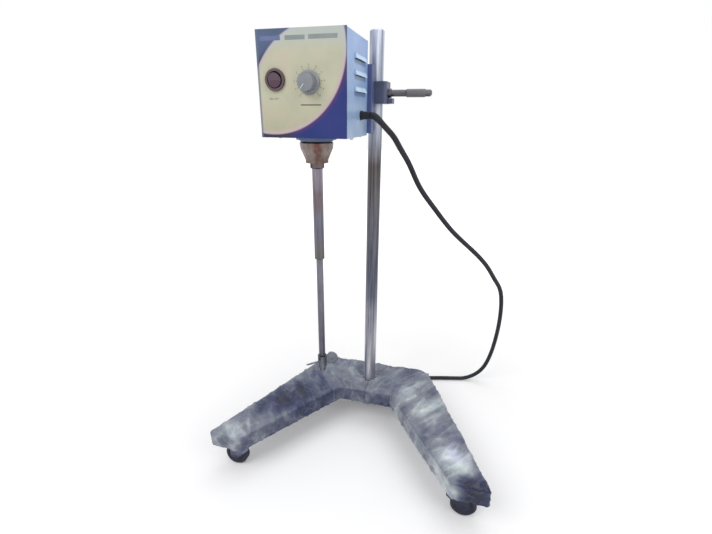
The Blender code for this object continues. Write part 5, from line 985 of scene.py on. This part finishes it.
# The panel's print: the dial's angles in degrees and its reaches from the knob, then the words' places,
# and plain bars as (x, z, width, height) in the places of other printed words
INK = 0.00012
DIAL_MARKS = 11
DIAL_START, DIAL_STEP = -140, 28
TICK_REACH, NUMBER_REACH = 0.0152, 0.0183
TICK_WIDTH, TICK_HEIGHT = 0.0005, 0.0018
WORD_SIZE = 0.0030
SWITCH_WORDS_PLACE = (-0.0940, 0.5378)
LABEL_BAR = (-0.0480, 0.5313, 0.0250, 0.0013)
TITLE_BARS = ((-0.0650, 0.6010, 0.0240, 0.0046), (-0.0320, 0.6012, 0.0340, 0.0046))
CORNER_BAR = (-0.0950, 0.6010, 0.0250, 0.0046)


def ink_bar(bm, x, z, width, height, turn=0.0):
    """A thin printed bar on the front panel."""
    place = Matrix.Translation((x, BOX_FRONT, z)) @ FRONTWARD @ Matrix.Rotation(turn, 4, "Z")
    made = bmesh.ops.create_cube(bm, size=1.0)["verts"]
    bmesh.ops.scale(bm, vec=(width, height, INK), verts=made)
    bmesh.ops.transform(bm, matrix=place, verts=made)


def ink_words(bm, words, x, z):
    """Small printed words on the front panel."""
    curve = bpy.data.curves.new("words", "FONT")
    curve.body = words
    curve.size = WORD_SIZE
    curve.align_x = curve.align_y = "CENTER"
    curve.extrude = INK / 2
    curve.resolution_u = 2
    holder = bpy.data.objects.new("words", curve)
    bpy.context.scene.collection.objects.link(holder)
    mesh = final_mesh(holder)
    bpy.data.objects.remove(holder)
    mesh.transform(Matrix.Translation((x, BOX_FRONT, z)) @ FRONTWARD)
    bm.from_mesh(mesh)
    bpy.data.meshes.remove(mesh)


def add_dial_marks():
    """The dial's ticks and numbers, the switch's two words and the bar under the knob."""
    bm = bmesh.new()
    for index in range(DIAL_MARKS):
        angle = math.radians(DIAL_START + DIAL_STEP * index)
        tick, number = (
            (KNOB_X + reach * math.sin(angle), KNOB_Z + reach * math.cos(angle))
            for reach in (TICK_REACH, NUMBER_REACH)
        )
        ink_bar(bm, *tick, TICK_WIDTH, TICK_HEIGHT, -angle)
        ink_words(bm, str(index), *number)
    ink_bar(bm, *LABEL_BAR)
    ink_words(bm, "ON  OFF", *SWITCH_WORDS_PLACE)
    ink = plastic("ink", srgb(88, 92, 88), srgb(76, 80, 78), 0.5)
    dress(add_mesh("panel_marks", bm, "head"), ink)


def add_bars(name, bars, ink):
    """Printed bars on the front panel, as one piece."""
    bm = bmesh.new()
    for bar in bars:
        ink_bar(bm, *bar)
    dress(add_mesh(name, bm, "head"), ink)


# The knob's pointer: its width, length and height, how far out its middle lies, and its bevel
POINTER_SIZE = (0.0012, 0.0062, 0.0006)
POINTER_REACH = 0.0060
POINTER_BEVEL = 0.00015


def add_knob_pointer(finish):
    """The white line on the knob, pointing at the dial's zero at rest."""
    bm = bmesh.new()
    made = bmesh.ops.create_cube(bm, size=1.0)["verts"]
    bmesh.ops.scale(bm, vec=POINTER_SIZE, verts=made)
    bmesh.ops.translate(bm, vec=(0, POINTER_REACH, 0), verts=made)
    turn = Matrix.Rotation(math.radians(-DIAL_START), 4, "Z")
    place = Matrix.Translation((KNOB_X, KNOB_FACE, KNOB_Z)) @ FRONTWARD @ turn
    bmesh.ops.transform(bm, matrix=place, verts=made)
    bmesh.ops.bevel(bm, geom=bm.edges[:], offset=POINTER_BEVEL, segments=2, affect="EDGES")
    dress(add_mesh("knob_pointer", bm, "knob"), finish)


# The boss under the bearing flange: its bore, its radii at the top, over its rounded edge and at its foot,
# how far it reaches into the flange, its edge's height, and its gap to the chuck below it
BOSS_BORE = 0.0085
BOSS_RADII = (0.0226, 0.0222, 0.0212)
BOSS_SINK = 0.0001
BOSS_EDGE = 0.0009
BOSS_GAP = 0.0006
BOSS_SIDES = 64


def add_flange_boss():
    """The bearing flange's boss, which reaches down to just above the chuck, in the flange's paint."""
    top = corners("bearing_flange")[0][2] + BOSS_SINK
    foot = corners("chuck_sleeve")[1][2] + BOSS_GAP
    wide, edge, low = BOSS_RADII
    profile = ((BOSS_BORE, top), (wide, top), (edge, foot + BOSS_EDGE), (low, foot), (BOSS_BORE, foot))
    bm = bmesh.new()
    rings = [
        ring(bm, BOSS_SIDES, lambda cos, sin: (SPINDLE_X + radius * cos, SPINDLE_Y + radius * sin, z))
        for radius, z in profile
    ]
    for near, far in zip(rings, [*rings[1:], rings[0]]):
        bridge(bm, far, near)
    bmesh.ops.recalc_face_normals(bm, faces=bm.faces)
    finish = painted("flange_paint", srgb(104, 114, 142), srgb(84, 94, 122), 0.45)
    paint(["bearing_flange"], finish)
    dress(add_mesh("flange_boss", bm, "head"), finish)


# The plates' screws: their heads' radius and heights, and their insets from the plates' edges. The floor
# plate's are (y, height), and its front ones are taller, for the foot that the photograph shows there
SCREW_RADIUS = 0.0028
BACK_SCREW_HEIGHT = 0.0014
BACK_INSET_X, BACK_INSET_Z = 0.007, 0.008
FLOOR_INSET_X = 0.0055
FLOOR_SCREWS = ((-0.019, 0.0030), (0.024, 0.0016))
DOME_SIDES = 20
DOME_RINGS = 5
DOME_TOP_SHARE = 0.8


def dome(bm, radius, height, place):
    """A screw's low pan head, turned about its axis."""
    loops = []
    for index in range(DOME_RINGS + 1):
        angle = index / DOME_RINGS * math.pi / 2
        reach = radius * math.cos(angle * DOME_TOP_SHARE)
        level = height * math.sin(angle)
        loops.append(ring(bm, DOME_SIDES, lambda cos, sin: place @ Vector((reach * cos, reach * sin, level))))
    skin(bm, loops)


def add_screws(finish):
    """Small pan heads on the back plate and under the floor plate."""
    bm = bmesh.new()
    backward = FRONTWARD.inverted()
    left, right = BOX_LEFT + BACK_INSET_X, BOX_RIGHT - BACK_INSET_X
    low, high = BOX_BOTTOM + BACK_INSET_Z, BOX_TOP - BACK_INSET_Z
    for x, z in ((left, low), (left, high), (right, high), (BRACKET_LEFT - BACK_INSET_X, low)):
        dome(bm, SCREW_RADIUS, BACK_SCREW_HEIGHT, Matrix.Translation((x, BOX_BACK, z)) @ backward)
    downward = Matrix.Rotation(math.pi, 4, "X")
    for x in (BOX_LEFT + FLOOR_INSET_X, BOX_RIGHT - FLOOR_INSET_X):
        for y, height in FLOOR_SCREWS:
            dome(bm, SCREW_RADIUS, height, Matrix.Translation((x, y, BOX_BOTTOM)) @ downward)
    dress(add_mesh("plate_screws", bm, "head"), finish)


# The stage: a floor just under the castors that glows more the farther out it is, a surround that looks
# brighter than it lights, and lamps as (name, place, size, power)
FLOOR_SIZE = 6.0
FLOOR_DROP = 0.0002
GLOW_FADE = (0.25, 1.3)
GLOW_STRENGTHS = (0.12, 0.75)
SURROUND_LIGHT, SURROUND_LOOK = 0.55, 1.0
LAMPS = (
    ("key", (-0.9, -1.3, 1.7), 1.4, 17),
    ("fill", (1.4, -0.9, 1.3), 1.6, 9),
    ("top", (0.1, 0.5, 2.0), 1.6, 9),
)
LAMP_AIM = Vector((0, 0, 0.3))


def seen(tree):
    """1 for rays that show the stage, straight, in gloss or through glass, and 0 for those that light."""
    rays = tree.nodes.new("ShaderNodeLightPath").outputs
    last = rays["Is Camera Ray"]
    for name in ("Is Glossy Ray", "Is Transmission Ray"):
        most = tree.nodes.new("ShaderNodeMath")
        most.operation = "MAXIMUM"
        tree.links.new(last, most.inputs[0])
        tree.links.new(rays[name], most.inputs[1])
        last = most.outputs[0]
    return last


def add_floor():
    """A plain pale floor."""
    bm = bmesh.new()
    bmesh.ops.create_grid(bm, x_segments=1, y_segments=1, size=FLOOR_SIZE)
    floor = add_mesh("floor", bm)
    floor.location.z = -FLOOR_DROP
    finish = Finish("floor", base_color=srgb(240, 240, 241), roughness=0.9, emission_color=(1, 1, 1, 1))
    away = finish.add("ShaderNodeVectorMath", [(0, finish.place)], operation="LENGTH").outputs["Value"]
    glow = finish.math("MULTIPLY", seen(finish.tree), finish.span(away, *GLOW_FADE, *GLOW_STRENGTHS))
    finish.wear("Emission Strength", glow)
    floor.data.materials.append(finish.material)


def add_surround():
    """A white surround."""
    world = bpy.data.worlds.new("surround")
    world.use_nodes = True
    tree = world.node_tree
    background = tree.nodes["Background"]
    background.inputs[0].default_value = (1, 1, 1, 1)
    strength = tree.nodes.new("ShaderNodeMapRange")
    tree.links.new(seen(tree), strength.inputs["Value"])
    strength.inputs["To Min"].default_value = SURROUND_LIGHT
    strength.inputs["To Max"].default_value = SURROUND_LOOK
    tree.links.new(strength.outputs[0], background.inputs[1])
    bpy.context.scene.world = world


def add_lamps():
    """Soft round lamps, all aimed at the stirrer's middle."""
    for name, place, size, power in LAMPS:
        lamp = bpy.data.lights.new(name, "AREA")
        lamp.shape = "DISK"
        lamp.size = size
        lamp.energy = power
        holder = bpy.data.objects.new(name, lamp)
        holder.location = place
        holder.rotation_euler = (LAMP_AIM - Vector(place)).to_track_quat("-Z", "Y").to_euler()
        bpy.context.scene.collection.objects.link(holder)


zinc = metal("zinc_plate", srgb(188, 188, 192), srgb(140, 140, 146), 0.34, (1, 1, 1), 90)
aluminium = metal("aluminium", srgb(196, 198, 202), srgb(158, 160, 166), 0.38, (1, 1, 0.4), 110)
black = plastic("black_plastic", srgb(42, 44, 54), srgb(26, 28, 36), 0.46, specular_ior_level=0.25)
grey = plastic("grey_plastic", srgb(138, 142, 148), srgb(112, 116, 122), 0.38)
paint_stand(zinc)
paint_head(zinc, aluminium, black, grey)
paint_motor(zinc, aluminium, black, grey)
paint_spindle(zinc)

add_camera()
route = lead_route()
add_relief(route, black)
add_cord(route)
add_film()
add_dial_marks()
add_bars("title_bars", TITLE_BARS, plastic("title_ink", srgb(140, 147, 146), srgb(122, 130, 130), 0.5))
add_bars("corner_bar", [CORNER_BAR], plastic("corner_ink", srgb(102, 114, 154), srgb(84, 94, 136), 0.5))
add_knob_pointer(plastic("pointer_white", srgb(196, 200, 204), srgb(184, 188, 192), 0.4))
add_flange_boss()
add_screws(zinc)
add_floor()
add_surround()
add_lamps()
bpy.context.scene.view_settings.view_transform = "Standard"
